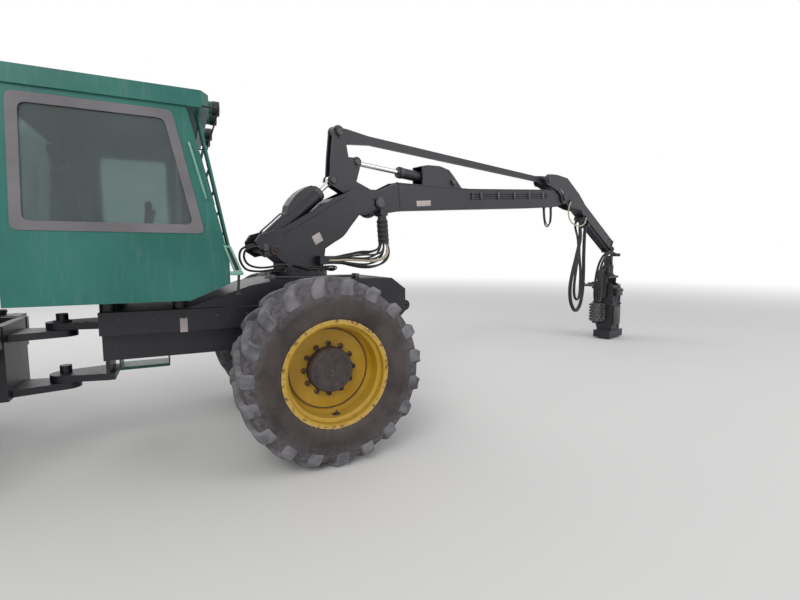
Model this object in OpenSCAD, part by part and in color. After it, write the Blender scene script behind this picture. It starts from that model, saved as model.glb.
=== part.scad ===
// Wheeled forestry harvester with a parallel crane, in millimetres.
// Forward is +X, left is +Y, up is +Z, and the ground is at Z = 0.
// The shape is laid out from the middle of the front axle and then moved,
// so that the middle of the whole machine's outline stands over the origin.

/* [Layout] */
// Distance between the two axles
wheelbase = 3750; // [3600:10:4000]
// Distance from the front axle back to the steering pivot
pivot_back = 2080; // [2040:10:2150]
// Height of the steering pivot's middle
pivot_z = 960; // [930:5:1000]
// Distance between the middles of the left and right tyres
track = 2092; // [2060:4:2200]

/* [Wheels] */
// Outer diameter over the lugs
tyre_d = 1620; // [1560:10:1660]
// Width of the tyre
tyre_w = 600; // [560:10:640]
// Height of a lug
lug_h = 46; // [30:2:60]
// Width of a lug
lug_w = 70; // [50:2:90]
// Number of lugs on each side
lug_count = 19; // [14:1:22]
// Thickness of the tyre's casing
casing_t = 34; // [25:1:40]
// Diameter of the rim flange
flange_d = 914; // [880:2:930]
// Width of the rim between its flanges
rim_w = 508; // [480:4:520]
// Height of the rim flange over the bead seat
flange_h = 25; // [18:1:30]
// Thickness of the rim's steel
rim_t = 12; // [8:1:16]
// Depth of the wheel disc behind the outer flange
disc_inset = 236; // [200:4:280]
// Thickness of the wheel disc
disc_t = 22; // [16:1:28]
// Diameter of the hub drum
hub_d = 380; // [340:4:400]
// Height of the hub drum over the wheel disc
hub_proud = 96; // [60:4:120]
// Diameter of the stub axle in the hub
stub_d = 180; // [150:2:200]

/* [Frames] */
// Half width of the front frame's box
frame_half = 500; // [440:10:520]
// Thickness of the frame plates
plate_t = 25; // [16:1:32]
// Height of the frame's deck at the crane
deck_z = 1560; // [1530:5:1580]
// Front end of the front frame
nose_x = 1040; // [980:10:1100]
// Half width of the rear frame
rear_half = 400; // [360:10:430]
// Height of the rear frame's top
rear_top_z = 1240; // [1200:10:1280]
// Distance from the rear axle to the back of the rear bumper
tail_back = 1560; // [1400:10:1700]
// Diameter of the steering pins
pivot_pin_d = 90; // [70:2:100]
// Diameter of the tie-down bores at the nose
tie_bore_d = 50; // [40:2:60]
// Diameter of the towing pin's bore
tow_bore_d = 42; // [36:1:50]

/* [Cab] */
// Front of the cab at the window line
cab_front_x = -810; // [-850:5:-790]
// Back wall of the cab
cab_back_x = -2270; // [-2300:5:-2200]
// Half width of the cab
cab_half = 800; // [740:10:840]
// Height of the cab floor
cab_floor_z = 1430; // [1410:5:1460]
// Height of the window line
belt_z = 1990; // [1940:5:2040]
// Height of the underside of the roof
eaves_z = 2960; // [2900:10:3050]
// Thickness of the cab walls
wall_t = 40; // [30:1:50]
// Thickness of the window glass
glass_t = 12; // [8:1:16]
// Thickness of the cab roof
roof_t = 130; // [100:5:160]

/* [Hood] */
// Half width of the hood
hood_half = 560; // [500:10:575]
// Top of the hood
hood_top_z = 2250; // [2150:10:2320]
// Distance from the steering pivot to the hood's front
hood_gap = 780; // [760:10:900]
// Thickness of the hood panels
hood_t = 30; // [20:1:40]

/* [Crane] */
// Direction in which the crane points at rest, to the left of straight ahead
slew_rest = 15.5; // [10:0.5:20]
// Elbow pivot, forward of the column's axis
elbow_s = 1030; // [990:5:1060]
// Elbow pivot, height
elbow_z = 2410; // [2380:5:2440]
// Length of the rocker from the elbow to its top pin
rocker_l = 902; // [880:2:920]
// Length of the boom between its pivots
boom_l = 4342; // [4200:10:4400]
// Slope of the boom
boom_a = 5.8; // [4:0.2:8]
// Length of the stick's lever from the knee to the pull bar
lever_l = 600; // [580:5:640]
// Slope of the stick
stick_a = -27.4; // [-30:0.2:-25]
// Height of the stick's box over the knee pivot
stick_rise = 215; // [200:5:230]
// Distance from the knee along the stick to the tip pin
stick_l = 2380; // [2300:10:2450]
// Width of the boom and the stick
boom_w = 190; // [180:2:196]
// Depth of the stick's box
stick_h = 200; // [180:5:215]
// Outer width of the tower
tower_w = 260; // [250:2:290]
// Diameter of the elbow pin
elbow_pin_d = 100; // [80:2:110]
// Diameter of the knee pin
knee_pin_d = 90; // [70:2:100]
// Diameter of the smaller crane pins
pin_d = 60; // [50:2:64]
// Diameter of the lift cylinder's barrel
lift_d = 170; // [150:2:180]
// Diameter of the reach cylinder's barrel
reach_d = 132; // [116:2:136]
// Diameter of the cylinder rods
rod_d = 60; // [50:2:70]
// Length of the cylinder barrels from the foot pin
barrel_l = 930; // [900:5:950]

/* [Head] */
// Half width of the head's frame
head_half = 190; // [170:5:210]
// Height of the head's frame
head_h = 1240; // [1180:10:1280]
// Length of the yoke from the rotator to the tilt pin
yoke_l = 446; // [440:1:460]
// Diameter of the feed rollers over their studs
feed_d = 300; // [260:5:320]

/* [Clearances] */
// Gap round pins, rods and stub axles
fit = 0.3; // [0.2:0.1:0.5]
// Gap between pieces that swing past each other
gap = 6; // [5:1:8]

/* [Hidden] */
$fn = 48;

// Places that follow from the sizes above
axle_z = tyre_d / 2;
half_track = track / 2;
pivot_x = -pivot_back;
rear_x = -wheelbase;
tail_x = rear_x - tail_back;
hood_front_x = pivot_x - hood_gap;

function along(p, l, a) = [p[0] + l * cos(a), p[1] + l * sin(a)];
function angle_of(p, q) = atan2(q[1] - p[1], q[0] - p[0]);
function span(p, q) = norm([q[0] - p[0], q[1] - p[1]]);

// Pivots in the crane's own upright plane, as distance from the column and height
elbow = [elbow_s, elbow_z];
rocker_top = along(elbow, rocker_l, 124.8);
knee = along(elbow, boom_l, boom_a);
bar_end = along(knee, lever_l, 156.4);
stick_start = along(knee, stick_rise, stick_a + 90);
tip = along(along(knee, stick_l, stick_a), stick_rise - 20, stick_a + 90);
reach_foot_l = 1361;
reach_foot_h = 247;
lift_foot = [elbow_s - 1460, elbow_z - 540];
lift_eye = [elbow_s - 600, elbow_z + 210];
reach_eye = [elbow_s - 270, elbow_z + 450];
reach_foot = along(along(elbow, reach_foot_l, boom_a), reach_foot_h, boom_a + 90);
cross_pin_z = tip[1] - 250;

// The machine's outline, which places the origin
feed_pin = [90, head_half + 90];
knife_pin = [150, head_half + 60];
knife_r = 235;
knife_mid = [110, -90];
front_end = (tip[0] + feed_pin[1]) * cos(slew_rest) - feed_pin[0] * sin(slew_rest) + feed_d / 2;
left_end = (tip[0] + knife_pin[1] + knife_mid[1]) * sin(slew_rest) + (knife_pin[0] + knife_mid[0]) * cos(slew_rest) + knife_r;
right_end = -(half_track + tyre_w / 2);
middle_x = (front_end + tail_x) / 2;
middle_y = (left_end + right_end) / 2;

// Sheet and paint colours
black = "#23262e";
green = "#1f7a5c";
yellow = "#d9a514";
steel = "#8d8f92";
rubber = "#4a4a4c";
dark = "#1b1b1d";
glass = "#7d8f93";

// Moves a piece from the layout to the machine's own frame
module placed() { translate([-middle_x, -middle_y, 0]) children(); }

// Turns a piece drawn along the column's forward direction to the crane's rest direction
module slewed() { placed() rotate([0, 0, slew_rest]) children(); }

// Extrudes an outline of the upright plane to a width across it
module plate(w, y = 0) { translate([0, y + w / 2, 0]) rotate([90, 0, 0]) linear_extrude(w) children(); }

// The same plate on both sides of the middle, from one distance to the other
module plate_pair(inner, outer) {
    plate(outer - inner, (outer + inner) / 2) children();
    plate(outer - inner, -(outer + inner) / 2) children();
}

// A round bar across the upright plane
module cross_bar(p, d, w, y = 0) {
    translate([p[0], y + w / 2, p[1]]) rotate([90, 0, 0]) cylinder(d = d, h = w);
}

// A disc in an outline of the upright plane
module boss(p, d) { translate(p) circle(d = d); }

// A straight tapering outline between two discs
module tapered(p, dp, q, dq) { hull() { boss(p, dp); boss(q, dq); } }

// An outline drawn in a link's own frame, from its pivot along its own direction
module local(p, a) { translate(p) rotate(a) children(); }

// A box given by its two corners
module block(lo, hi) { translate(lo) cube([hi[0] - lo[0], hi[1] - lo[1], hi[2] - lo[2]]); }

// A box and its mirror on the other side of the middle plane
module both_blocks(lo, hi) {
    block(lo, hi);
    block([lo[0], -hi[1], lo[2]], [hi[0], -lo[1], hi[2]]);
}

// A round bar between two points
module bar(a, b, d) {
    v = b - a;
    translate(a) rotate([0, acos(v[2] / norm(v)), atan2(v[1], v[0])]) cylinder(d = d, h = norm(v), $fn = 20);
}

// Wheels

flange_r = flange_d / 2;
seat_r = flange_r - flange_h;
tread_r = tyre_d / 2 - lug_h;
shoulder_r = tread_r - 22;
sidewall_bulge = 34;
outer_y = rim_w / 2;
disc_y = outer_y - disc_inset;

// The side wall bulges as a parabola from the rim flange to the shoulder
function wall_point(t, inset) = [
    flange_r + 8 + t * (shoulder_r - flange_r - 8) + inset * (0.3 - t) * 1.2,
    tyre_w / 2 - sidewall_bulge * pow(2 * t - 1, 2) - inset
];
casing_half = concat(
    [[seat_r + fit, outer_y - 46], [seat_r + fit, outer_y - fit], [flange_r + 4, outer_y - fit]],
    [for (i = [0:6]) wall_point(i / 6, 0)],
    [[tread_r - 6, tyre_w / 2 - 90], [tread_r, tyre_w / 2 - 220]]
);
cavity_half = concat(
    [[seat_r + 24, outer_y - 60]],
    [for (i = [0:4]) wall_point(i / 4, casing_t)],
    [[tread_r - casing_t, tyre_w / 2 - 150]]
);
function mirrored(points) = [for (i = [len(points) - 1:-1:0]) [points[i][0], -points[i][1]]];
casing_outline = concat(casing_half, mirrored(casing_half));
cavity_outline = concat(cavity_half, mirrored(cavity_half));

// Lugs reach from just over the middle to the shoulder, the left and right ones in turn
lug_outline = [
    [tread_r - 40, -tyre_w / 2 + 4], [tyre_d / 2 - 30, -tyre_w / 2 + 4], [tyre_d / 2 - 10, -tyre_w / 2 + 34],
    [tyre_d / 2, -tyre_w / 2 + 120], [tyre_d / 2, tyre_w / 2 - 120], [tyre_d / 2 - 10, tyre_w / 2 - 34],
    [tyre_d / 2 - 30, tyre_w / 2 - 4], [tread_r - 40, tyre_w / 2 - 4]
];
lug_sweep = 210;

module lug_bar() {
    rotate([90, 0, 90]) translate([0, 0, tread_r - 60]) linear_extrude(120)
        polygon([
            [-lug_sweep / 2, -24], [-lug_sweep / 2 + lug_w, -24],
            [lug_sweep / 2 + lug_w / 2, tyre_w / 2], [lug_sweep / 2 - lug_w / 2, tyre_w / 2]
        ]);
}

module tyre_shape() {
    rotate([90, 0, 0]) {
        difference() {
            rotate_extrude($fn = 72) polygon(casing_outline);
            rotate_extrude($fn = 72) polygon(cavity_outline);
        }
        intersection() {
            rotate_extrude($fn = 72) polygon(lug_outline);
            for (i = [0:lug_count - 1]) {
                rotate([0, 0, i * 360 / lug_count]) lug_bar();
                mirror([0, 0, 1]) rotate([0, 0, (i + 0.5) * 360 / lug_count]) lug_bar();
            }
        }
    }
}

// The rim, its disc and the hub drum, with the outer side towards +Y
rim_outline = [
    [flange_r, outer_y + 8], [flange_r, outer_y], [seat_r, outer_y], [seat_r, outer_y - 50],
    [seat_r - 30, outer_y - 70], [seat_r - 30, disc_y + 90], [seat_r - 30, -outer_y + 70],
    [seat_r, -outer_y + 50], [seat_r, -outer_y], [flange_r, -outer_y], [flange_r, -outer_y - 8],
    [seat_r - rim_t, -outer_y - 8], [seat_r - rim_t, -outer_y + 50], [seat_r - 30 - rim_t, -outer_y + 66],
    [seat_r - 30 - rim_t, disc_y - disc_t], [stub_d / 2 + 60, disc_y - disc_t],
    [stub_d / 2 + 60, disc_y - disc_t - 90], [stub_d / 2 + fit, disc_y - disc_t - 90],
    [stub_d / 2 + fit, disc_y + 20], [0, disc_y + 20], [0, disc_y + hub_proud],
    [hub_d / 2 - 60, disc_y + hub_proud], [hub_d / 2 - 44, disc_y + hub_proud - 14],
    [hub_d / 2 - 14, disc_y + hub_proud - 14], [hub_d / 2, disc_y + hub_proud - 28], [hub_d / 2, disc_y],
    [seat_r - 74, disc_y], [seat_r - 66, disc_y - 10], [seat_r - 58, disc_y],
    [seat_r - 30 - rim_t, disc_y + 30], [seat_r - 30 - rim_t, outer_y - 66],
    [seat_r - rim_t, outer_y - 50], [seat_r - rim_t, outer_y + 8]
];
nut_count = 12;
nut_pcd = hub_d + 64;

module wheel_shape() {
    rotate([-90, 0, 0]) {
        rotate_extrude($fn = 72) polygon(rim_outline);
        for (i = [0:nut_count - 1])
            rotate([0, 0, i * 360 / nut_count]) translate([nut_pcd / 2, 0, disc_y - 4]) cylinder(d = 40, h = 26, $fn = 6);
    }
}

// Puts a wheel's piece on its stub: side is +1 on the left and -1 on the right
module at_wheel(x, side) {
    placed() translate([x, side * half_track, axle_z]) mirror([0, side < 0 ? 1 : 0, 0]) children();
}

module tyre_front_left() { color(rubber) at_wheel(0, 1) tyre_shape(); }
module tyre_front_right() { color(rubber) at_wheel(0, -1) tyre_shape(); }
module tyre_rear_left() { color(rubber) at_wheel(rear_x, 1) tyre_shape(); }
module tyre_rear_right() { color(rubber) at_wheel(rear_x, -1) tyre_shape(); }
module wheel_front_left() { color(yellow) at_wheel(0, 1) wheel_shape(); }
module wheel_front_right() { color(yellow) at_wheel(0, -1) wheel_shape(); }
module wheel_rear_left() { color(yellow) at_wheel(rear_x, 1) wheel_shape(); }
module wheel_rear_right() { color(yellow) at_wheel(rear_x, -1) wheel_shape(); }

// Axles

diff_d = 420;
tube_d = 210;
flange_end = half_track + disc_y - disc_t - 90 - gap;

// A beam with a bulging differential and a stub at each end, turned about Y
axle_outline = [
    [0, 0], [diff_d / 2, 0], [diff_d / 2, 90], [diff_d / 2 - 60, 170], [tube_d / 2, 260],
    [tube_d / 2, flange_end - 120], [tube_d / 2 + 55, flange_end - 70], [tube_d / 2 + 55, flange_end],
    [stub_d / 2, flange_end], [stub_d / 2, half_track + disc_y + 10], [0, half_track + disc_y + 10]
];

module axle_beam() {
    for (m = [0, 1]) mirror([0, m, 0]) rotate([-90, 0, 0]) rotate_extrude() polygon(axle_outline);
}

pad_y = 300;
pad_w = 160;
frame_low_z = 1140;
belly_low_z = 905;

module front_axle() {
    color(black) placed() {
        translate([0, 0, axle_z]) axle_beam();
        for (side = [-1, 1])
            block([-130, side * pad_y - pad_w / 2, axle_z - 20], [130, side * pad_y + pad_w / 2, frame_low_z]);
    }
}

// The rear axle rocks on two trunnions, in line ahead of and behind its differential
trunnion_d = 150;
trunnion_x = 330;
hanger_t = 80;

module rear_axle() {
    color(black) placed() translate([rear_x, 0, axle_z]) {
        axle_beam();
        translate([-trunnion_x - hanger_t, 0, 0]) rotate([0, 90, 0]) cylinder(d = trunnion_d, h = 2 * (trunnion_x + hanger_t));
        translate([-trunnion_x + gap, 0, 0]) rotate([0, 90, 0]) cylinder(d = trunnion_d + 90, h = 2 * (trunnion_x - gap));
    }
}

// Front frame: an open box of plates with a sloping deck, a belly box and the pivot's fork

deck_low_z = 1330;
frame_back_x = pivot_x + 330;
slope_x = -560;
pedestal_d = 700;
fork_gap = 230;
fork_t = 60;
ledge_y = frame_half + 14;
lug_y = 380;
lug_t = 40;
nose_lug_x = nose_x + 45;
nose_lug_z = frame_low_z + 110;

deck_line = [
    [nose_x, deck_z - 120], [nose_x - 160, deck_z], [-330, deck_z], [slope_x, deck_z - 40],
    [-1120, deck_low_z], [frame_back_x, deck_low_z]
];

module side_outline() {
    polygon(concat(
        [[frame_back_x, frame_low_z], [nose_x - 60, frame_low_z], [nose_x, frame_low_z + 60]],
        deck_line
    ));
}

module pocket_outline() {
    polygon([
        [frame_back_x + plate_t, frame_low_z - 10], [nose_x - plate_t - 50, frame_low_z - 10],
        [nose_x - plate_t, deck_z - 160], [nose_x - 200, deck_z - 40], [-360, deck_z - 40],
        [slope_x, deck_z - 80], [-1120, deck_low_z - 35], [frame_back_x + plate_t, deck_low_z - 35]
    ]);
}

module front_frame() {
    color(black) placed() {
        difference() {
            plate(2 * frame_half) side_outline();
            plate(2 * (frame_half - plate_t)) pocket_outline();
        }
        // cross walls inside the box
        for (x = [-1450, -720, -330, 330, 720])
            block([x - plate_t / 2, -frame_half + 5, frame_low_z], [x + plate_t / 2, frame_half - 5, min(deck_z, x < -700 ? deck_low_z : deck_z) - 5]);
        // belly boxes behind and ahead of the axle, set in from the sides
        block([frame_back_x, -360, belly_low_z], [-420, 360, frame_low_z + 30]);
        block([300, -330, belly_low_z + 60], [nose_x - 120, 330, frame_low_z + 30]);
        // floor plate over the axle, which the axle's pads carry
        block([-430, -frame_half + 5, frame_low_z], [310, frame_half - 5, frame_low_z + plate_t]);
        // rubber mounts under the cab
        for (x = [-1150, frame_back_x + 60]) for (y = [-400, 400])
            translate([x, y, deck_low_z - 5]) cylinder(d = 120, h = cab_floor_z - deck_low_z + 5);
        // welded ledge along the sides
        both_blocks([frame_back_x, frame_half - 5, deck_low_z - 22], [-300, ledge_y, deck_low_z]);
        // tie-down lugs on the nose
        for (y = [-lug_y, lug_y]) difference() {
            plate(lug_t, y) {
                polygon([[nose_x - 40, nose_lug_z - 70], [nose_lug_x, nose_lug_z - 60], [nose_lug_x, nose_lug_z + 60], [nose_x - 40, nose_lug_z + 70]]);
                boss([nose_lug_x, nose_lug_z], 120);
            }
            cross_bar([nose_lug_x, nose_lug_z], tie_bore_d, 3 * lug_t, y);
        }
        // slewing pedestal
        translate([0, 0, deck_z - 60]) cylinder(d = pedestal_d, h = 60);
        // pivot fork: two plates above and two below, with the pins through them
        for (z = [pivot_z + fork_gap, pivot_z - fork_gap]) difference() {
            union() {
                hull() {
                    translate([pivot_x, 0, z - fork_t / 2]) cylinder(d = 240, h = fork_t, $fn = 32);
                    block([frame_back_x, -200, z - fork_t / 2], [frame_back_x + 60, 200, z + fork_t / 2]);
                }
            }
            translate([pivot_x, 0, z - fork_t]) cylinder(d = pivot_pin_d, h = 2 * fork_t);
        }
        for (z = [pivot_z + fork_gap, pivot_z - fork_gap])
            translate([pivot_x, 0, z - fork_t / 2 - 70]) cylinder(d = pivot_pin_d, h = fork_t + 140);
        block([frame_back_x - 5, -200, pivot_z - fork_gap - fork_t / 2], [frame_back_x + plate_t, 200, frame_low_z + 20]);
    }
}

// Rear frame: two rails with cross walls, the pivot's tongue and the axle hangers

rear_low_z = 1070;
rear_front_x = pivot_x - 330;

module rear_frame() {
    color(black) placed() {
        // rails and cross walls
        both_blocks([tail_x + 160, rear_half - 60, rear_low_z], [rear_front_x, rear_half, rear_top_z]);
        for (x = [tail_x + 190, rear_x - 700, rear_x + 700, rear_front_x - 60])
            block([x - 30, -rear_half + 10, rear_low_z + 10], [x + 30, rear_half - 10, rear_top_z - 10]);
        // front wall down to the pivot
        block([rear_front_x - 60, -300, pivot_z - 330], [rear_front_x, 300, rear_top_z]);
        // tongues between the fork plates
        for (z = [pivot_z + fork_gap, pivot_z - fork_gap]) difference() {
            hull() {
                translate([pivot_x, 0, z - fork_t / 2 - 66]) cylinder(d = 220, h = 60, $fn = 32);
                block([rear_front_x - 5, -190, z - fork_t / 2 - 66], [rear_front_x, 190, z - fork_t / 2 - 6]);
            }
            translate([pivot_x, 0, z - 200]) cylinder(d = pivot_pin_d + 2 * fit, h = 300);
        }
        // hangers of the rocking axle
        for (x = [rear_x + trunnion_x, rear_x - trunnion_x - hanger_t]) difference() {
            hull() {
                block([x, -180, rear_low_z], [x + hanger_t, 180, rear_low_z + 30]);
                translate([x, 0, axle_z]) rotate([0, 90, 0]) cylinder(d = trunnion_d + 100, h = hanger_t, $fn = 32);
            }
            translate([x - 10, 0, axle_z]) rotate([0, 90, 0]) cylinder(d = trunnion_d + 2 * fit, h = hanger_t + 20);
        }
        for (x = [rear_x + trunnion_x, rear_x - trunnion_x - hanger_t])
            block([x, -rear_half + 10, rear_low_z], [x + hanger_t, rear_half - 10, rear_low_z + 60]);
    }
}

// Engine, hood, grille, exhaust, tank and bumper

engine_l = 1150;
engine_w = 700;

module engine_block() {
    color(steel) placed()
        block([rear_x - 850, -engine_w / 2, rear_top_z], [rear_x - 850 + engine_l, engine_w / 2, rear_top_z + 760]);
}

hood_back_x = tail_x + 120;
nose_half = 430;
hood_low_z = rear_top_z + 10;

// Plan of the hood: its front corners are cut back, so that it clears the cab in full lock
function hood_plan(in) = [
    [hood_front_x - in, -nose_half + in], [hood_front_x - 300, -hood_half + in], [hood_back_x + in, -hood_half + in],
    [hood_back_x + in, hood_half - in], [hood_front_x - 300, hood_half - in], [hood_front_x - in, nose_half - in]
];

hinge_pin_d = 30;
hinge_x = tail_x + 70;
hinge_z = rear_top_z + 45;
hinge_y = 340;

// Eyes at the hood's foot, on the pins of the bumper's lugs
module hood_eye(y) {
    difference() {
        plate(50, y) {
            polygon([[hinge_x, hinge_z - 28], [hinge_x, hinge_z + 28], [hood_back_x + 10, hinge_z + 60], [hood_back_x + 10, hinge_z - 28]]);
            boss([hinge_x, hinge_z], 60);
        }
        cross_bar([hinge_x, hinge_z], hinge_pin_d + 2 * fit, 60, y);
    }
}

module hood() {
    color(green) placed() for (y = [-hinge_y, hinge_y]) hood_eye(y);
    color(green) placed() difference() {
        translate([0, 0, hood_low_z]) linear_extrude(hood_top_z - hood_low_z) polygon(hood_plan(0));
        translate([0, 0, hood_low_z - 5]) linear_extrude(hood_top_z - hood_low_z - hood_t + 5) polygon(hood_plan(hood_t));
        // sloping top towards the back
        translate([0, hood_half + 5, 0]) rotate([90, 0, 0]) linear_extrude(2 * hood_half + 10)
            polygon([[hood_back_x + 700, hood_top_z + 5], [hood_back_x - 5, hood_top_z + 5], [hood_back_x - 5, hood_top_z - 190]]);
        // opening of the rear grille
        block([hood_back_x - 5, -hood_half + 110, hood_low_z + 150], [hood_back_x + hood_t + 5, hood_half - 110, hood_top_z - 330]);
    }
}

module grille() {
    color(dark) placed() difference() {
        block([hood_back_x + 2, -hood_half + 110 + fit, hood_low_z + 150 + fit], [hood_back_x + 26, hood_half - 110 - fit, hood_top_z - 330 - fit]);
        for (i = [0:11])
            block([hood_back_x, -hood_half + 140, hood_low_z + 180 + i * 38], [hood_back_x + 40, hood_half - 140, hood_low_z + 180 + i * 38 + 22]);
    }
}

module exhaust() {
    color(steel) placed() translate([rear_x + 420, 330, 0]) {
        translate([0, 0, hood_top_z]) cylinder(d = 150, h = 380);
        translate([0, 0, hood_top_z + 379]) cylinder(d = 80, h = 200);
    }
}

module tank() {
    color(black) placed()
        for (side = [-1, 1])
            block([rear_front_x - 420, side > 0 ? rear_half + fit : -rear_half - 240, rear_low_z - 130], [rear_front_x - 70, side > 0 ? rear_half + 240 : -rear_half - fit, rear_top_z + 5]);
}

jaw_low_z = rear_low_z - 10;
jaw_h = 80;

module rear_bumper() {
    color(black) placed() {
        difference() {
            union() {
                block([tail_x, -hood_half, rear_low_z - 160], [tail_x + 110, hood_half, rear_top_z]);
                block([tail_x, -150, jaw_low_z - 80], [tail_x + 155, 150, rear_top_z]);
            }
            // tow jaw: a pocket open to the back, with the pin's bore from above
            block([tail_x - 5, -95, jaw_low_z], [tail_x + 115, 95, jaw_low_z + jaw_h]);
            translate([tail_x + 60, 0, jaw_low_z - 60]) cylinder(d = tow_bore_d, h = rear_top_z - jaw_low_z + 70);
        }
        both_blocks([tail_x + 105, rear_half - 60, rear_low_z], [tail_x + 160 - fit, rear_half, rear_top_z]);
        // lugs and pins of the hood's hinge
        for (y = [-hinge_y, hinge_y]) {
            for (side = [-1, 1]) plate(18, y + side * 37) {
                polygon([[hinge_x - 34, rear_top_z - 5], [hinge_x - 30, hinge_z], [hinge_x + 30, hinge_z], [hinge_x + 34, rear_top_z - 5]]);
                boss([hinge_x, hinge_z], 60);
            }
            cross_bar([hinge_x, hinge_z], hinge_pin_d, 92, y);
        }
    }
}

// Cab: a hollow shell with its windows cut, a roof, panes, a door and the operator's place

cab_side = [
    [cab_front_x + 50, cab_floor_z + 130], [cab_front_x + 50, belt_z - 250], [cab_front_x, belt_z],
    [cab_front_x - 230, eaves_z], [cab_back_x + 60, eaves_z], [cab_back_x, belt_z],
    [cab_back_x, cab_floor_z], [cab_front_x - 260, cab_floor_z]
];
cab_inner = [
    [cab_front_x + 50 - wall_t, cab_floor_z + 150], [cab_front_x + 50 - wall_t, belt_z - 255],
    [cab_front_x - wall_t, belt_z], [cab_front_x - 230 - wall_t, eaves_z + 5], [cab_back_x + 60 + wall_t, eaves_z + 5],
    [cab_back_x + wall_t, belt_z], [cab_back_x + wall_t, cab_floor_z + wall_t],
    [cab_front_x - 250, cab_floor_z + wall_t]
];
door_front_x = cab_front_x - 300;
door_back_x = cab_front_x - 1120;
door_low_z = cab_floor_z + 60;
door_top_z = eaves_z - 60;
post = 70;

// Side window outline, from one x to the other
function side_pane(x0, x1, z0, z1) = [[x0, z0], [x1, z0], [x1, z1], [x0, z1]];
front_pane = [
    [cab_front_x - 150, belt_z], [cab_front_x - 345, eaves_z - 60],
    [cab_back_x + 130, eaves_z - 60], [cab_back_x + 100, belt_z]
];

module cab_shell() {
    color(green) placed() post_knuckles();
    color(green) placed() difference() {
        plate(2 * cab_half) polygon(cab_side);
        plate(2 * (cab_half - wall_t)) polygon(cab_inner);
        // windscreen, rear window and right side window
        block([cab_front_x - 400, -cab_half + post, belt_z + 30], [cab_front_x + 100, cab_half - post, eaves_z - 60]);
        block([cab_back_x - 50, -cab_half + post, belt_z + 30], [cab_back_x + 200, cab_half - post, eaves_z - 60]);
        plate(2 * wall_t, -cab_half) polygon(front_pane);
        // left side: the doorway and the pane behind it
        block([door_back_x, cab_half - wall_t - 5, door_low_z], [door_front_x, cab_half + 5, door_top_z]);
    }
}

module cab_roof() {
    color(green) placed() {
        translate([0, 0, eaves_z]) linear_extrude(roof_t) polygon([
            [cab_front_x - 120, -cab_half - 20], [cab_front_x - 60, -cab_half + 80], [cab_front_x - 60, cab_half - 80],
            [cab_front_x - 120, cab_half + 20], [cab_back_x + 40, cab_half + 20], [cab_back_x - 10, cab_half - 60],
            [cab_back_x - 10, -cab_half + 60], [cab_back_x + 40, -cab_half - 20]
        ]);
        // work lamps on the front edge
        for (y = [-600, -300, 300, 600])
            translate([cab_front_x - 70, y, eaves_z + roof_t / 2]) rotate([0, 90, 0]) cylinder(d = 110, h = 90);
    }
}

module cab_glass() {
    color(glass) placed() {
        // windscreen and rear window lean with their walls
        intersection() {
            plate(2 * (cab_half - post) - 2 * fit) polygon([
                [cab_front_x - 14, belt_z + 30 + fit], [cab_front_x - 14 - glass_t, belt_z + 30 + fit],
                [cab_front_x - 244 - glass_t, eaves_z - 60 - fit], [cab_front_x - 244, eaves_z - 60 - fit]
            ]);
            block([cab_front_x - 400, -cab_half, belt_z], [cab_front_x + 100, cab_half, eaves_z - 60 - fit]);
        }
        plate(2 * (cab_half - post) - 2 * fit) polygon([
            [cab_back_x + 14, belt_z + 30 + fit], [cab_back_x + 14 + glass_t, belt_z + 30 + fit],
            [cab_back_x + 72 + glass_t, eaves_z - 60 - fit], [cab_back_x + 72, eaves_z - 60 - fit]
        ]);
        plate(glass_t, -cab_half + wall_t / 2) polygon([
            [cab_front_x - 152, belt_z + fit], [cab_front_x - 347, eaves_z - 60 - fit],
            [cab_back_x + 131, eaves_z - 60 - fit], [cab_back_x + 102, belt_z + fit]
        ]);
    }
}

door_gap = 6;
hinge_d = 32;
door_pin_d = 16;
door_pin = [door_back_x + 3, cab_half + hinge_d / 2 + 1];
door_hinge_z = [door_low_z + 240, door_top_z - 260];

// A knuckle on the door, between two on the door post that carry the pin
module door_knuckles() {
    for (z = door_hinge_z) difference() {
        union() {
            translate([door_pin[0], door_pin[1], z - 30 + fit]) cylinder(d = hinge_d, h = 60 - 2 * fit);
            block([door_pin[0], cab_half - 1, z - 30 + fit], [door_pin[0] + 70, cab_half + 9, z + 30 - fit]);
        }
        translate([door_pin[0], door_pin[1], z - 40]) cylinder(d = door_pin_d + 2 * fit, h = 80);
    }
}

module post_knuckles() {
    for (z = door_hinge_z) {
        for (low = [z - 60, z + 30]) {
            translate([door_pin[0], door_pin[1], low]) cylinder(d = hinge_d, h = 30);
            block([door_pin[0] - 70, cab_half - 1, low], [door_pin[0], cab_half + 9, low + 30]);
        }
        translate([door_pin[0], door_pin[1], z - 35]) cylinder(d = door_pin_d, h = 70);
    }
}

module cab_door() {
    color(green) placed() door_knuckles();
    color(green) placed() difference() {
        block([door_back_x + door_gap, cab_half - wall_t, door_low_z + door_gap], [door_front_x - door_gap, cab_half, door_top_z - door_gap]);
        block([door_back_x + 80, cab_half - wall_t - 5, belt_z - 200], [door_front_x - 80, cab_half + 5, door_top_z - 80]);
    }
}

module door_glass() {
    color(glass) placed()
        block([door_back_x + 80 + fit, cab_half - wall_t / 2 - glass_t / 2, belt_z - 200 + fit], [door_front_x - 80 - fit, cab_half - wall_t / 2 + glass_t / 2, door_top_z - 80 - fit]);
}

seat_x = cab_back_x + 620;
floor_top = cab_floor_z + wall_t;

module operator_seat() {
    color(dark) placed() {
        block([seat_x - 180, -180, floor_top], [seat_x + 160, 180, floor_top + 330]);
        block([seat_x - 240, -260, floor_top + 329], [seat_x + 260, 260, floor_top + 460]);
        translate([seat_x - 240, 0, floor_top + 440]) rotate([0, -12, 0]) block([-60, -250, 0], [60, 250, 620]);
        translate([seat_x - 240, 0, floor_top + 440]) rotate([0, -12, 0]) block([-40, -140, 619], [40, 140, 820]);
    }
}

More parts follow.
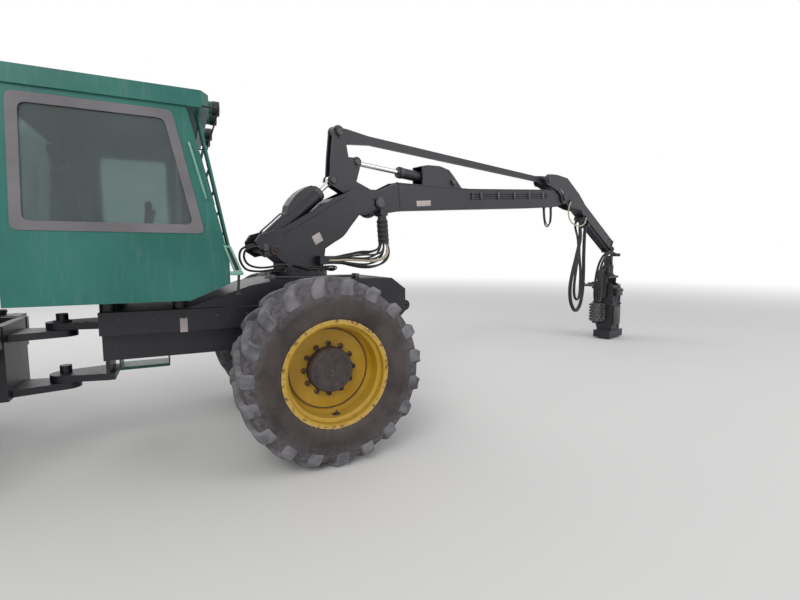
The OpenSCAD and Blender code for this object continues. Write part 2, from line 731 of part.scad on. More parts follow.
// Height of the cab's sloping front floor, at a distance from the front of the cab
function slope_z(x) = floor_top + (x + 250) * (110 / (300 - wall_t));

module console() {
    color(dark) placed() {
        both_blocks([seat_x - 120, 310, floor_top], [seat_x + 330, 420, floor_top + 560]);
        for (side = [-1, 1]) bar([seat_x + 270, side * 365, floor_top + 550], [seat_x + 290, side * 365, floor_top + 720], 40);
        plate(400) polygon([
            [cab_front_x - 190, slope_z(-190) + fit], [cab_front_x - 90, slope_z(-90) + fit],
            [cab_front_x - 60, floor_top + 380], [cab_front_x - 130, floor_top + 420], [cab_front_x - 190, floor_top + 400]
        ]);
    }
}

module guards_and_steps() {
    color(green) placed() {
        // ladder guard before the windscreen
        for (y = [-620, 620]) {
            bar([cab_front_x + 60, y, belt_z - 120], [cab_front_x - 147, y, eaves_z - 3.5], 34);
            bar([cab_front_x + 26, y, belt_z - 110], [cab_front_x + 62, y, belt_z - 110], 30);
        }
        for (i = [0:5]) {
            z = belt_z + i * (eaves_z - belt_z) / 5.4;
            x = cab_front_x + 60 - 210 * (z - belt_z + 120) / (eaves_z - belt_z + 140);
            bar([x, -620, z], [x, 620, z], 24);
        }
        // steps under the door
        for (z = [620, 900, 1180]) block([door_back_x + 200, ledge_y + fit, z], [door_front_x - 160, cab_half, z + 30]);
        for (x = [door_back_x + 200, door_front_x - 172])
            block([x, ledge_y + fit, 620], [x + 12, cab_half, cab_floor_z - 30]);
    }
}

// Crane tower: a foot on the slewing ring and two side plates that lean forward to the elbow

tower_in = tower_w / 2 - 30;
port_s = 260;
port_z = 1745;
tail_hose_from = [-500, 1880];
tail_hose_to = [-205, 1700];
ear_in = boom_w / 2 + 5;
lift_a = angle_of(lift_foot, lift_eye);

module tower_outline() {
    polygon([
        [-215, 1625], [235, 1625], [270, 1870], [510, 2010], [725, 2250], [930, 2290],
        [elbow_s + 60, elbow_z + 150], [elbow_s - 90, elbow_z + 150], [640, 2530],
        [360, 2400], [-215, 2075], [-470, 2000], [-520, 1930], [-510, 1830], [-420, 1775], [-320, 1800], [-215, 1720]
    ]);
    boss(elbow, 320);
}

module crane_tower() {
    color(black) slewed() {
        translate([0, 0, deck_z + fit]) cylinder(d = 620, h = 70);
        difference() {
            plate(tower_w) tower_outline();
            // channel of the lift cylinder and the fork at the elbow
            plate(2 * tower_in) {
                local(lift_foot, lift_a) translate([-200, -lift_d / 2 - 14]) square([1400, 600]);
                polygon([[560, 2330], [700, 2170], [1300, 2170], [1300, 2700], [300, 2700], [380, 2440]]);
            }
        }
        cross_bar(elbow, elbow_pin_d, tower_w + 30);
        cross_bar(lift_foot, pin_d, tower_w + 20);
        // clamp of the elbow's hoses and the ports they end in, on the right side plate
        block([975, -tower_w / 2 - 86, elbow_z - 148], [1085, -tower_w / 2 + 5, elbow_z - 80]);
        block([150, -tower_w / 2 - 86, port_z - 45], [port_s, -tower_w / 2 + 5, port_z + 45]);
        block([tail_hose_from[0], -tower_w / 2 - 40, tail_hose_from[1] - 25], [tail_hose_from[0] + 50, -tower_w / 2 + 5, tail_hose_from[1] + 25]);
        block([tail_hose_to[0], -tower_w / 2 - 40, tail_hose_to[1] - 25], [tail_hose_to[0] + 50, -tower_w / 2 + 5, tail_hose_to[1] + 25]);
        // web under the elbow fork
        plate(2 * tower_in + 10) polygon([[300, 1900], [520, 2030], [690, 2190], [650, 2250], [300, 2010]]);
    }
}

// A cylinder barrel along +X from its foot pin at the origin, and its rod back from the eye
module barrel_shape(d, w, bore_to) {
    difference() {
        union() {
            rotate([90, 0, 0]) translate([0, 0, -w / 2]) cylinder(d = pin_d + 50, h = w);
            translate([0, 0, 0]) rotate([0, 90, 0]) cylinder(d = d - 30, h = 100);
            translate([70, 0, 0]) rotate([0, 90, 0]) cylinder(d = d, h = barrel_l - 70);
            translate([barrel_l - 60, 0, 0]) rotate([0, 90, 0]) cylinder(d = d + 8, h = 50);
        }
        rotate([90, 0, 0]) translate([0, 0, -w]) cylinder(d = pin_d + 2 * fit, h = 2 * w);
        translate([bore_to, 0, 0]) rotate([0, 90, 0]) cylinder(d = rod_d + 2 * fit, h = barrel_l);
    }
}

module rod_shape(l, w) {
    rotate([90, 0, 0]) translate([0, 0, -w / 2]) cylinder(d = pin_d + 44, h = w);
    translate([-l, 0, 0]) rotate([0, 90, 0]) cylinder(d = rod_d, h = l);
}

// Places a shape drawn along +X at a point of the upright plane, leaning at an angle
module leaning(p, a) { translate([p[0], 0, p[1]]) rotate([0, -a, 0]) children(); }

eye_w = 60;
rocker_in = eye_w / 2 + 5;
rocker_out = rocker_in + 22;

// The lift cylinder carries its hose block and a guard on top, at the rod's end
lift_guard_w = 130;
module lift_barrel() {
    color(black) slewed() leaning(lift_foot, lift_a) {
        barrel_shape(lift_d, 2 * tower_in - 2 * gap, 270);
        plate(lift_guard_w) polygon([[430, 60], [520, 128], [620, 153], [705, 157], [790, 145], [880, 119], [905, 60]]);
    }
}
module lift_rod() { color(steel) slewed() leaning(lift_eye, lift_a) rod_shape(800, eye_w); }

reach_a = angle_of(reach_foot, reach_eye);
anchor_in = boom_w / 2 - 20;
module reach_barrel() { color(black) slewed() leaning(reach_foot, reach_a) barrel_shape(reach_d, 2 * anchor_in - 2 * gap, 130); }
module reach_rod() { color(steel) slewed() leaning(reach_eye, reach_a) rod_shape(930, eye_w); }

// Rocker: two plates between the boom's ears, with webs and the pull bar's pin at the top
module rocker() {
    color(black) slewed() {
        difference() {
            plate_pair(rocker_in, rocker_out) {
                polygon([
                    [rocker_top[0] - 70, rocker_top[1] + 20], [410, 2860], [395, 2640], [430, 2560], [560, 2500],
                    [elbow_s - 60, elbow_z - 130], [elbow_s + 100, elbow_z + 100], [750, 2640], [800, 2800], [800, 2910],
                    [640, 2900], [rocker_top[0] + 75, rocker_top[1]]
                ]);
                boss(rocker_top, 150);
                boss(elbow, 260);
                boss(reach_eye, 120);
                boss(lift_eye, 120);
            }
            cross_bar(elbow, elbow_pin_d + 2 * fit, 400);
        }
        cross_bar(rocker_top, pin_d, 2 * rocker_out + 16);
        plate(2 * rocker_in + 4) polygon([[450, 2790], [560, 2790], [570, 2980], [470, 2980]]);
        plate(2 * rocker_in + 4) polygon([[640, 2570], [760, 2500], [790, 2560], [670, 2640]]);
    }
}

// Boom: two ears at the elbow, a box that tapers to the knee, and humped cheeks with a cover over the reach cylinder's foot
boom_root = 330;
module boom() {
    color(black) slewed() leaning_box() {
        difference() {
            union() {
                plate(boom_w) polygon([
                    [boom_root, 245], [1720, 160], [boom_l - 500, 132], [boom_l - 40, 118], [boom_l + 60, 100],
                    [boom_l + 60, -110], [boom_l - 260, -170], [3250, -160], [1700, -126], [boom_root, -98]
                ]);
                plate_pair(rocker_out + gap, boom_w / 2) {
                    polygon([[0, 130], [boom_root + 20, 252], [boom_root + 20, -105], [0, -130]]);
                    boss([0, 0], 290);
                }
                plate_pair(anchor_in, boom_w / 2)
                    polygon([[770, 195], [795, 455], [890, 467], [1120, 460], [1300, 412], [1410, 310], [1560, 150]]);
                plate(boom_w) polygon([[795, 455], [890, 467], [1120, 460], [1300, 412], [1400, 319], [1393, 312], [1296, 402], [1118, 449], [892, 456], [797, 444]]);
                plate(boom_w) boss([boom_l, 0], 250);
            }
            cross_bar([0, 0], elbow_pin_d + 2 * fit, 400);
            cross_bar([boom_l, 0], knee_pin_d + 2 * fit, 400);
        }
        cross_bar([reach_foot_l, reach_foot_h], pin_d, boom_w + 20);
        // hydraulic pipes along the near and far sides
        for (side = [-1, 1]) for (i = [0:2])
            bar([1750, side * (boom_w / 2 + 8), 90 - i * 34], [boom_l - 560, side * (boom_w / 2 + 8), 66 - i * 34], 20);
    }
}
module leaning_box() { translate([elbow[0], 0, elbow[1]]) rotate([0, -boom_a, 0]) children(); }

// Pull bar: a fish belly end at the rocker, then a slim box to the stick's lever
bar_l = span(rocker_top, bar_end);
bar_a = angle_of(rocker_top, bar_end);
module pull_bar() {
    color(black) slewed() leaning(rocker_top, bar_a) {
        difference() {
            union() {
                plate(eye_w) polygon([[10, 60], [130, 62], [430, 40], [bar_l, 40], [bar_l, -40], [480, -52], [160, -96], [10, -62]]);
                cross_bar([0, 0], 140, eye_w);
                cross_bar([bar_l, 0], 110, eye_w);
            }
            cross_bar([0, 0], pin_d + 2 * fit, 200);
        }
    }
}

// Stick: lever plates over the boom's end, then a hollow box with the telescope inside
plate_in = boom_w / 2 + gap;
plate_out = plate_in + 24;
box_from = 330;
box_to = stick_l - 150;
tele_gap = 4;
stick_wall = 14;
lever_a = 156.4 - stick_a;
lever_end = along([0, 0], lever_l, lever_a);

module stick() {
    color(black) slewed() leaning(knee, stick_a) {
        difference() {
            union() {
                plate_pair(plate_in, plate_out) {
                    polygon([
                        lever_end + [-91, -20], lever_end + [-41, 80], lever_end + [0, 113], [lever_end[0] * 0.72, 178],
                        [-84, stick_rise + stick_h / 2 + 20], [425, stick_rise + stick_h / 2 + 17],
                        [700, stick_rise + stick_h / 2 - 20], [700, stick_rise - stick_h / 2 + 20],
                        [469, 30], [174, -60], [-259, -43], lever_end + [59, -70]
                    ]);
                    boss([0, 0], 250);
                    boss(lever_end, 190);
                }
                plate(boom_w) translate([box_from, stick_rise - stick_h / 2]) square([box_to - box_from, stick_h]);
                plate(2 * plate_in + 4) translate([box_from, stick_rise - stick_h / 2 + 20]) square([420, stick_h - 40]);
            }
            plate(boom_w - 2 * stick_wall) translate([box_from + 60, stick_rise - stick_h / 2 + stick_wall]) square([stick_l, stick_h - 2 * stick_wall]);
        }
        cross_bar([0, 0], knee_pin_d, 2 * plate_out + 16);
        for (side = [-1, 1])
            cross_bar(lever_end, 100, plate_in - eye_w / 2 - gap + 2, side * (plate_in + eye_w / 2 + gap + 2) / 2);
        cross_bar([-100, stick_rise + 25], 90, 2 * plate_in + 4);
    }
}

tele_w = boom_w - 2 * stick_wall - 2 * tele_gap;
tele_h = stick_h - 2 * stick_wall - 2 * tele_gap;
tip_in = 45;
carrier_y = stick_rise - stick_h / 2 - 75;
hose_from_l = 900;
hose_to_l = 1130;
module telescope() {
    color(black) slewed() leaning(knee, stick_a) {
        difference() {
            union() {
                plate(tele_w) translate([box_from + 80, stick_rise - tele_h / 2]) square([stick_l - box_from - 160, tele_h]);
                plate(2 * tip_in) {
                    polygon([[stick_l - 150, stick_rise + tele_h / 2], [stick_l - 20, stick_rise + 60], [stick_l, stick_rise - 90], [stick_l - 150, stick_rise - tele_h / 2]]);
                    boss([stick_l, stick_rise - 20], 140);
                }
            }
            cross_bar([stick_l, stick_rise - 20], pin_d + 2 * fit, 200);
        }
        // wear pads near the inner end, above and below
        for (z = [stick_rise + tele_h / 2 - 2, stick_rise - tele_h / 2 - tele_gap + fit])
            plate(90) translate([box_from + 100, z]) square([140, tele_gap - fit + 2]);
        // collar at the end of the box and the two hose carriers on rails under it
        plate(boom_w + 20) translate([box_to + gap, stick_rise - stick_h / 2 - 10]) square([40, stick_h + 20]);
        for (side = [-1, 1])
            bar([box_to + gap + 20, side * 60, stick_rise - stick_h / 2 - 40], [hose_from_l, side * 60, stick_rise - stick_h / 2 - 40], 36);
        block([box_to + gap, -80, stick_rise - stick_h / 2 - 60], [box_to + gap + 40, 80, stick_rise - stick_h / 2 - 5]);
        for (l = [hose_from_l, hose_to_l]) block([l - 45, -95, carrier_y], [l + 45, 95, stick_rise - stick_h / 2 - 15]);
    }
}

// Tip link, rotator and yoke, hanging under the tip pin

link_out = tip_in + gap + 22;
clamp_y = 242;
clamp_z = cross_pin_z + 123;
module tip_link() {
    color(black) slewed() {
        plate_pair(tip_in + gap, link_out) tapered(tip, 120, [tip[0], cross_pin_z + 40], 84);
        cross_bar(tip, pin_d, 2 * link_out + 16);
        block([tip[0] - 45, -link_out, cross_pin_z - 40], [tip[0] + 45, link_out, cross_pin_z + 110]);
        translate([tip[0] - 90, 0, cross_pin_z]) rotate([0, 90, 0]) cylinder(d = pin_d - 10, h = 180);
        // clamp that holds the hoses beside the link
        block([tip[0] - 42, -clamp_y, clamp_z - 30], [tip[0] + 10, -link_out + 4, clamp_z + 30]);
    }
}

rotator_top_z = cross_pin_z - 90;
rotator_low_z = rotator_top_z - 190;
yoke_top_z = rotator_low_z - fit;
tilt_z = yoke_top_z - yoke_l;
head_z = tilt_z - 920;
port_l = 150;
module rotator() {
    color(dark) slewed() translate([tip[0], 0, 0]) {
        translate([0, 0, rotator_low_z]) cylinder(d = 210, h = rotator_top_z - rotator_low_z);
        // port block that the head's hoses run into
        block([-port_l, -80, rotator_low_z + 25], [-80, 80, rotator_top_z - 30]);
        difference() {
            for (side = [-1, 1]) block([side * 65 - 14, -60, rotator_top_z - 5], [side * 65 + 14, 60, cross_pin_z + 55]);
            translate([-100, 0, cross_pin_z]) rotate([0, 90, 0]) cylinder(d = pin_d - 10 + 2 * fit, h = 200);
        }
    }
}

// The head hangs turned a quarter to the left, with its open side away from the machine's right
module head_placed() { slewed() translate([tip[0], 0, 0]) rotate([0, 0, 90]) children(); }

yoke_y = head_half + gap + 4;
module head_yoke() {
    color(black) head_placed() {
        translate([0, 0, yoke_top_z - 50]) cylinder(d = 240, h = 50);
        block([-130, -yoke_y - 28, yoke_top_z - 90], [130, yoke_y + 28, yoke_top_z - 45]);
        for (side = [-1, 1]) plate(28, side * (yoke_y + 14)) tapered([0, yoke_top_z - 100], 180, [0, tilt_z], 170);
        for (side = [-1, 1]) cross_bar([0, tilt_z], pin_d, 60, side * (yoke_y - 2));
    }
}

// Head: a spine with side plates, saw box, knives, feed rollers and saw bar
spine_x = -170;
saw_half = 320;
module head_frame() {
    color(black) head_placed() translate([0, 0, head_z]) {
        block([spine_x - 30, -head_half + 20, 120], [spine_x + 40, head_half - 20, head_h - 120]);
        difference() {
            plate_pair(head_half - 30, head_half)
                polygon([
                    [spine_x - 40, 180], [spine_x + 60, 120], [100, 140], [150, 300], [150, 336], [feed_pin[0] - feed_d / 2 - gap, 336],
                    [feed_pin[0] - feed_d / 2 - gap, 740], [130, 740], [170, 860], [knife_pin[0] + 50, 980],
                    [knife_pin[0] + 50, head_h - 50], [knife_pin[0] - 60, head_h - 20], [spine_x + 20, head_h - 90], [spine_x - 40, head_h - 160]
                ]);
            cross_bar([0, tilt_z - head_z], pin_d + 2 * fit, 600);
        }
        // roller arms
        for (side = [-1, 1]) for (z = [300, 740])
            block([20, side > 0 ? head_half - 10 : -head_half - 150, z], [150, side > 0 ? head_half + 150 : -head_half + 10, z + 36]);
        for (side = [-1, 1])
            translate([feed_pin[0], side * feed_pin[1], 330]) cylinder(d = 60, h = 420);
        // knife brackets and pins
        for (side = [-1, 1]) {
            for (z = [knife_z - 46, knife_z + knife_h + gap])
                block([knife_pin[0] - 50, side > 0 ? head_half - 20 : -knife_pin[1] - 50, z], [knife_pin[0] + 50, side > 0 ? knife_pin[1] + 50 : -head_half + 20, z + 40]);
            translate([knife_pin[0], side * knife_pin[1], knife_z - 40]) cylinder(d = 50, h = knife_h + 80);
        }
        // saw box at the foot, with the slot that the bar swings out of and the bar's spindle
        difference() {
            block([spine_x - 60, -saw_half, 0], [120, saw_half, 150]);
            block([spine_x, -saw_half + 15, 24], [130, saw_half - 15, 62]);
        }
        translate([spine_x + 60, -saw_half + 70, 10]) cylinder(d = 40, h = 70);
    }
}

module feed_roller(side) {
    color(steel) head_placed() translate([feed_pin[0], side * feed_pin[1], head_z + 336 + gap]) {
        difference() {
            union() {
                cylinder(d = feed_d - 60, h = 404 - 2 * gap);
                for (i = [0:11]) for (k = [0:5])
                    rotate([0, 0, i * 30 + (k % 2) * 15]) translate([feed_d / 2 - 38, -9, 24 + k * 62]) cube([38, 18, 34]);
            }
            translate([0, 0, -5]) cylinder(d = 60 + 2 * fit, h = 420);
        }
    }
}
module feed_roller_left() { feed_roller(1); }
module feed_roller_right() { feed_roller(-1); }

// Knives: curved arms on upright pins at the top, which reach round the stem
knife_z = head_h - 150;
knife_h = 56;
module knife(side) {
    color(steel) head_placed() translate([knife_pin[0], side * knife_pin[1], head_z + knife_z]) mirror([0, side < 0 ? 1 : 0, 0]) {
        difference() {
            union() {
                linear_extrude(knife_h) intersection() {
                    difference() {
                        translate(knife_mid) circle(r = knife_r);
                        translate(knife_mid + [10, -40]) circle(r = knife_r - 30);
                    }
                    translate([-48, -180]) square([600, 600]);
                }
                cylinder(d = 96, h = knife_h);
            }
            translate([0, 0, -5]) cylinder(d = 50 + 2 * fit, h = knife_h + 10);
        }
    }
}
module knife_left() { knife(1); }
module knife_right() { knife(-1); }

saw_l = 540;
module saw_bar() {
    color(steel) head_placed() translate([spine_x + 60, -saw_half + 70, head_z + 38]) {
        difference() {
            union() {
                translate([-35, 0, 0]) cube([70, saw_l - 35, 10]);
                translate([0, saw_l - 35, 0]) cylinder(d = 70, h = 10);
                cylinder(d = 96, h = 10);
            }
            translate([0, 0, -5]) cylinder(d = 40 + 2 * fit, h = 30);
        }
    }
}

// Hoses: round tubes swept along chosen points

// The loops leave the carriers under the stick square to their faces
function carrier_end(l, y, out = 0) = let (p = along(along(knee, l, stick_a), carrier_y - fit - out, stick_a + 90)) [p[0], y, p[1]];

// The routes' points, in the crane's own frame: forward, left, height
head_hose_a = [
    carrier_end(hose_from_l, -50), carrier_end(hose_from_l, -50, 120), [5965, -135, 2090], [5800, -160, 1770],
    [5635, -172, 1430], [5570, -175, 1165], [5610, -180, 910], [5790, -180, 745], [5980, -175, 840],
    [6085, -165, 1100], [6125, -150, 1430], [6165, -120, 1820], carrier_end(hose_to_l, -50, 130), carrier_end(hose_to_l, -50)
];
head_hose_b = [
    carrier_end(hose_from_l, 50), carrier_end(hose_from_l, 50, 120), [6050, -50, 2090], [5900, -142, 1790],
    [5785, -168, 1500], [5738, -170, 1250], [5740, -170, 1090], [5785, -170, 985], [5860, -169, 950],
    [5935, -167, 985], [5985, -160, 1090], [6010, -148, 1250], [6052, -122, 1510], [6120, -52, 1850],
    carrier_end(hose_to_l, 50, 130), carrier_end(hose_to_l, 50)
];
link_hose_a = [
    [tip[0] - 42 - fit, -150, clamp_z], [tip[0] - 105, -150, clamp_z], [7360, -150, 1828], [7200, -152, 1848], [6980, -153, 1800], [6790, -153, 1650],
    [6680, -151, 1430], [6640, -148, 1200], [6650, -142, 1000], [6710, -132, 885], [6800, -120, 850],
    [6885, -106, 900], [6930, -90, 1020], [6955, -74, 1170], [6990, -46, 1320], [7065, -9, 1430],
    [7180, 20, 1472], [7300, 30, 1480], [tip[0] - port_l - fit, 30, 1480]
];
link_hose_b = [
    [tip[0] - 42 - fit, -210, clamp_z], [tip[0] - 105, -210, clamp_z], [7360, -210, 1828], [7200, -212, 1848], [6980, -213, 1800], [6790, -213, 1650],
    [6680, -211, 1430], [6640, -208, 1200], [6650, -202, 1000], [6710, -192, 885], [6800, -180, 850],
    [6885, -166, 900], [6930, -150, 1020], [6955, -134, 1170], [6990, -116, 1320], [7065, -89, 1430],
    [7180, -55, 1472], [7300, -30, 1480], [tip[0] - port_l - fit, -30, 1480]
];
elbow_hose = [[1030, -174, elbow_z - 148 - fit], [1030, -174, 2180], [1038, -175, 2060], [1050, -176, 1930], [1040, -177, 1810], [985, -178, 1728], [870, -178, 1692], [740, -178, 1690], [600, -177, 1712], [470, -176, 1738], [350, -175, port_z], [port_s + fit, -175, port_z]];
tail_hose = [[tail_hose_from[0] - fit, -152, tail_hose_from[1]], [-545, -152, tail_hose_from[1]], [-625, -152, 1850], [-648, -152, 1780], [-610, -152, 1712], [-520, -152, 1680], [-400, -152, 1680], [-290, -152, tail_hose_to[1]], [tail_hose_to[0] - fit, -152, tail_hose_to[1]]];

function tangent(route, i) = let (
    a = route[max(i - 1, 0)], b = route[min(i + 1, len(route) - 1)], v = b - a
) v / norm(v);
function side_of(t) = let (v = cross(t, [0, 1, 0])) v / norm(v);
function ring(route, i, d, n) = let (t = tangent(route, i), u = side_of(t), w = cross(t, u))
    [for (k = [0:n - 1]) route[i] + d / 2 * (u * cos(k * 360 / n) + w * sin(k * 360 / n))];

module hose(route, d, n = 8) {
    m = len(route);
    rings = [for (i = [0:m - 1]) for (p = ring(route, i, d, n)) p];
    sides = [for (i = [0:m - 2]) for (k = [0:n - 1]) [i * n + k, i * n + (k + 1) % n, (i + 1) * n + (k + 1) % n, (i + 1) * n + k]];
    polyhedron(rings, concat([[for (k = [n - 1:-1:0]) k]], sides, [[for (k = [0:n - 1]) (m - 1) * n + k]]));
}

module tower_hoses() { color(dark) slewed() hose(tail_hose, 30); }
module elbow_hoses() { color(dark) slewed() hose(elbow_hose, 80); }
module head_hoses() { color(dark) slewed() { hose(head_hose_a, 70); hose(head_hose_b, 60); } }
module link_hoses() { color(dark) slewed() { hose(link_hose_a, 54); hose(link_hose_b, 54); } }

front_frame();
front_axle();
cab_shell();
cab_roof();
cab_glass();
cab_door();
door_glass();
operator_seat();
console();
guards_and_steps();
rear_frame();
rear_axle();
engine_block();
hood();
grille();
exhaust();
tank();
rear_bumper();
tyre_front_left();
tyre_front_right();
tyre_rear_left();
tyre_rear_right();
wheel_front_left();
wheel_front_right();
wheel_rear_left();
wheel_rear_right();
crane_tower();
lift_barrel();
lift_rod();
rocker();
reach_barrel();
reach_rod();
boom();
pull_bar();
stick();
telescope();
tip_link();
rotator();
head_yoke();
head_frame();
feed_roller_left();
feed_roller_right();
knife_left();
knife_right();
saw_bar();
tower_hoses();
elbow_hoses();
head_hoses();
link_hoses();
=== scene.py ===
# Looks for a wheeled forestry harvester with a parallel crane.
# Everything is in metres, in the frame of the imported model: forward +X, left +Y, up +Z.
import math

import bpy
import numpy as np
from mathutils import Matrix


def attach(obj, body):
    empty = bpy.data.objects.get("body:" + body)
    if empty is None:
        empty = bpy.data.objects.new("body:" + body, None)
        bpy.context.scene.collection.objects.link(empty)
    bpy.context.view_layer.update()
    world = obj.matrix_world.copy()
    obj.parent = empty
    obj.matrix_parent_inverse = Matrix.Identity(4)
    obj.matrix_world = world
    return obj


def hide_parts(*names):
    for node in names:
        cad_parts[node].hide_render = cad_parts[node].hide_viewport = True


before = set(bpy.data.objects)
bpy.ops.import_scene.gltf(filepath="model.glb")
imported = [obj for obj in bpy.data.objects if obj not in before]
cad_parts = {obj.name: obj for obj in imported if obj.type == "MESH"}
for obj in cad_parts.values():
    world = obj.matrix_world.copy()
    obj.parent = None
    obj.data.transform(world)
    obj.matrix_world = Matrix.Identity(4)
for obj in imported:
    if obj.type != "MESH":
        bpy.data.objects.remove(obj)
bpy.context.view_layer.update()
print("frame loaded:", len(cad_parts), "nodes")

# Where the layout's own origin and the crane's pins stand, pins as (forward along the crane, height)
place = {
    "shift": (1.1817976, 0.6003115),  # front axle to the middle of the outline
    "slew": 15.5,  # the crane's direction at rest, degrees to the left
    "elbow": (1.03, 2.41), "boomSlope": 5.8,
    "knee": (5.349772, 2.848786), "stickSlope": -27.4,
    "tip": (7.552512, 1.926635),
    "liftFoot": (-0.43, 1.87), "liftEye": (0.43, 2.62),
    "reachFoot": (1.361, 0.247),  # this one lies along the boom from the elbow
    "reachEye": (0.76, 2.86), "barNear": (0.5152, 3.1507), "barFar": (4.8, 3.089),
    "axleZ": 0.81, "halfTrack": 1.046, "rearX": -3.75,
}


# Points from their coordinates, and coordinates from points
def xyz(x, y, z):
    return np.stack(np.broadcast_arrays(x, y, z), axis=-1)


def parts(p):
    return np.moveaxis(np.asarray(p, float), -1, 0)


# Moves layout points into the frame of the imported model
def fromLayout(p):
    return np.asarray(p, float) - np.array([*place["shift"], 0.0])


# The layout, mirrored for the left (1) or the right (-1) side
def onSide(side):
    return lambda p: fromLayout(np.asarray(p, float) * np.array([1, side, 1]))


# Turns points of the crane's upright plane (forward, left, height) about the column
def fromCrane(p):
    x, y, z = parts(p)
    a = math.radians(place["slew"])
    return fromLayout(xyz(x * math.cos(a) - y * math.sin(a), x * math.sin(a) + y * math.cos(a), z))


# A place in the crane's plane, from its lengths along an arm and square to it
def alongArm(pivot, slope, along, up):
    c, s = math.cos(math.radians(slope)), math.sin(math.radians(slope))
    return pivot[0] + along * c - up * s, pivot[1] + along * s + up * c


# The frame of an arm, for points (along, left, square to it) from its pivot
def armFrame(pivot, slope):
    def move(p):
        x, y, z = parts(p)
        s, h = alongArm(pivot, slope, x, z)
        return fromCrane(xyz(s, y, h))
    return move


def slopeOf(a, b):
    return math.degrees(math.atan2(b[1] - a[1], b[0] - a[0]))


reachFoot = alongArm(place["elbow"], place["boomSlope"], *place["reachFoot"])
fromBoom = armFrame(place["elbow"], place["boomSlope"])
fromStick = armFrame(place["knee"], place["stickSlope"])
fromLift = armFrame(place["liftFoot"], slopeOf(place["liftFoot"], place["liftEye"]))
fromReach = armFrame(reachFoot, slopeOf(reachFoot, place["reachEye"]))


# The head's own points: forward out of its open side, left, height. It hangs a quarter turn to the left.
def fromHead(p):
    x, y, z = parts(p)
    return fromCrane(xyz(place["tip"][0] - y, x, z))


# A wheel's own points: forward, outwards, up from its hub
def fromWheel(axleX, side):
    def move(p):
        x, y, z = parts(p)
        return fromLayout(xyz(axleX + x, side * (place["halfTrack"] + y), place["axleZ"] + z))
    return move


# Faces of a grid of rows and columns of points, open or closed each way
def gridFaces(rows, cols, closeRows=False, closeCols=False):
    r, c = np.meshgrid(np.arange(rows - (not closeRows)), np.arange(cols - (not closeCols)), indexing="ij")
    r1, c1 = (r + 1) % rows, (c + 1) % cols
    faces = np.stack([r * cols + c, r * cols + c1, r1 * cols + c1, r1 * cols + c], axis=-1)
    return [tuple(face) for face in faces.reshape(-1, 4).tolist()]


# The same for a tube, with both of its ends closed
def cappedFaces(rows, cols):
    last = (rows - 1) * cols
    return gridFaces(rows, cols, closeCols=True) + [tuple(range(cols))[::-1], tuple(range(last, last + cols))]


# Turns all faces so that the closed shape's signed volume is positive
def outward(points, faces):
    centred = points - points.mean(axis=0)
    volume = 0.0
    for count in {len(face) for face in faces}:
        corners = centred[np.array([face for face in faces if len(face) == count])]
        volume += np.sum(corners[:, :1] * np.cross(corners[:, 1:-1], corners[:, 2:]))
    return [face[::-1] for face in faces] if volume < 0 else faces


# Makes one point of points that coincide, and drops the faces that this leaves without an area
def merged(points, faces):
    _, first, which = np.unique(np.round(points, 7), axis=0, return_index=True, return_inverse=True)
    which = which.ravel().tolist()
    kept = []
    for face in faces:
        loop = [which[i] for i in face]
        loop = tuple(a for k, a in enumerate(loop) if a != loop[k - 1])
        if len(loop) > 2:
            kept.append(loop)
    return points[first], kept


# Joins several (points, faces) shapes into one, each with its faces outwards
def joined(shapes):
    points, faces, start = [], [], 0
    for p, f in shapes:
        p = np.asarray(p, float).reshape(-1, 3)
        points.append(p)
        faces += [tuple(i + start for i in face) for face in outward(p, f)]
        start += len(p)
    return np.concatenate(points), faces


# A piece of one shape or of a list of shapes, which rides on a body and holds its material
def makePiece(name, shape, material, body, angle=35):
    points, faces = joined(shape if isinstance(shape, list) else [shape])
    mesh = bpy.data.meshes.new(name)
    mesh.from_pydata(points.tolist(), [], faces)
    mesh.validate()
    mesh.materials.append(material)
    piece = bpy.data.objects.new(name, mesh)
    bpy.context.scene.collection.objects.link(piece)
    mesh.polygons.foreach_set("use_smooth", [True] * len(mesh.polygons))
    mesh.set_sharp_from_angle(angle=math.radians(angle))
    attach(piece, body)
    return piece


# A smooth curve through the points (Catmull-Rom), at evenly spaced places along it
def smoothPath(points, count):
    p = np.asarray(points, float)
    ends = np.vstack([2 * p[0] - p[1], p, 2 * p[-1] - p[-2]])
    t = np.linspace(0, 1, 24, endpoint=False)[:, None]
    fine = []
    for a, b, c, d in zip(ends, ends[1:], ends[2:], ends[3:]):
        bends = (2 * a - 5 * b + 4 * c - d) * t**2 + (3 * b - a - 3 * c + d) * t**3
        fine.append(0.5 * (2 * b + (c - a) * t + bends))
    fine = np.vstack(fine + [p[-1:]])
    step = np.concatenate([[0], np.cumsum(np.linalg.norm(np.diff(fine, axis=0), axis=1))])
    want = np.linspace(0, step[-1], count)
    return np.stack([np.interp(want, step, axis) for axis in fine.T], axis=-1)


def pathLength(p):
    return float(np.sum(np.linalg.norm(np.diff(p, axis=0), axis=1)))


def squareTo(direction):
    return np.cross(direction, [0.0, 0.0, 1.0] if abs(direction[2]) < 0.9 else [1.0, 0.0, 0.0])


# Two directions square to the path at each of its points, carried along without twist
def framesAlong(p):
    t = np.gradient(p, axis=0)
    t /= np.linalg.norm(t, axis=1)[:, None]
    u = np.zeros_like(t)
    last = squareTo(t[0])
    for i in range(len(t)):
        last = last - np.dot(last, t[i]) * t[i]
        last /= np.linalg.norm(last)
        u[i] = last
    return u, np.cross(t, u)


# A closed profile carried along a path: point = path + x * side + y * up, with both ends closed
def sweep(path, profile, scale=1.0):
    path = np.asarray(path, float)
    u, w = framesAlong(path)
    k = np.broadcast_to(scale, len(path))[:, None, None]
    across = profile[None, :, 0, None] * u[:, None, :] + profile[None, :, 1, None] * w[:, None, :]
    return (path[:, None, :] + k * across).reshape(-1, 3), cappedFaces(len(path), len(profile))


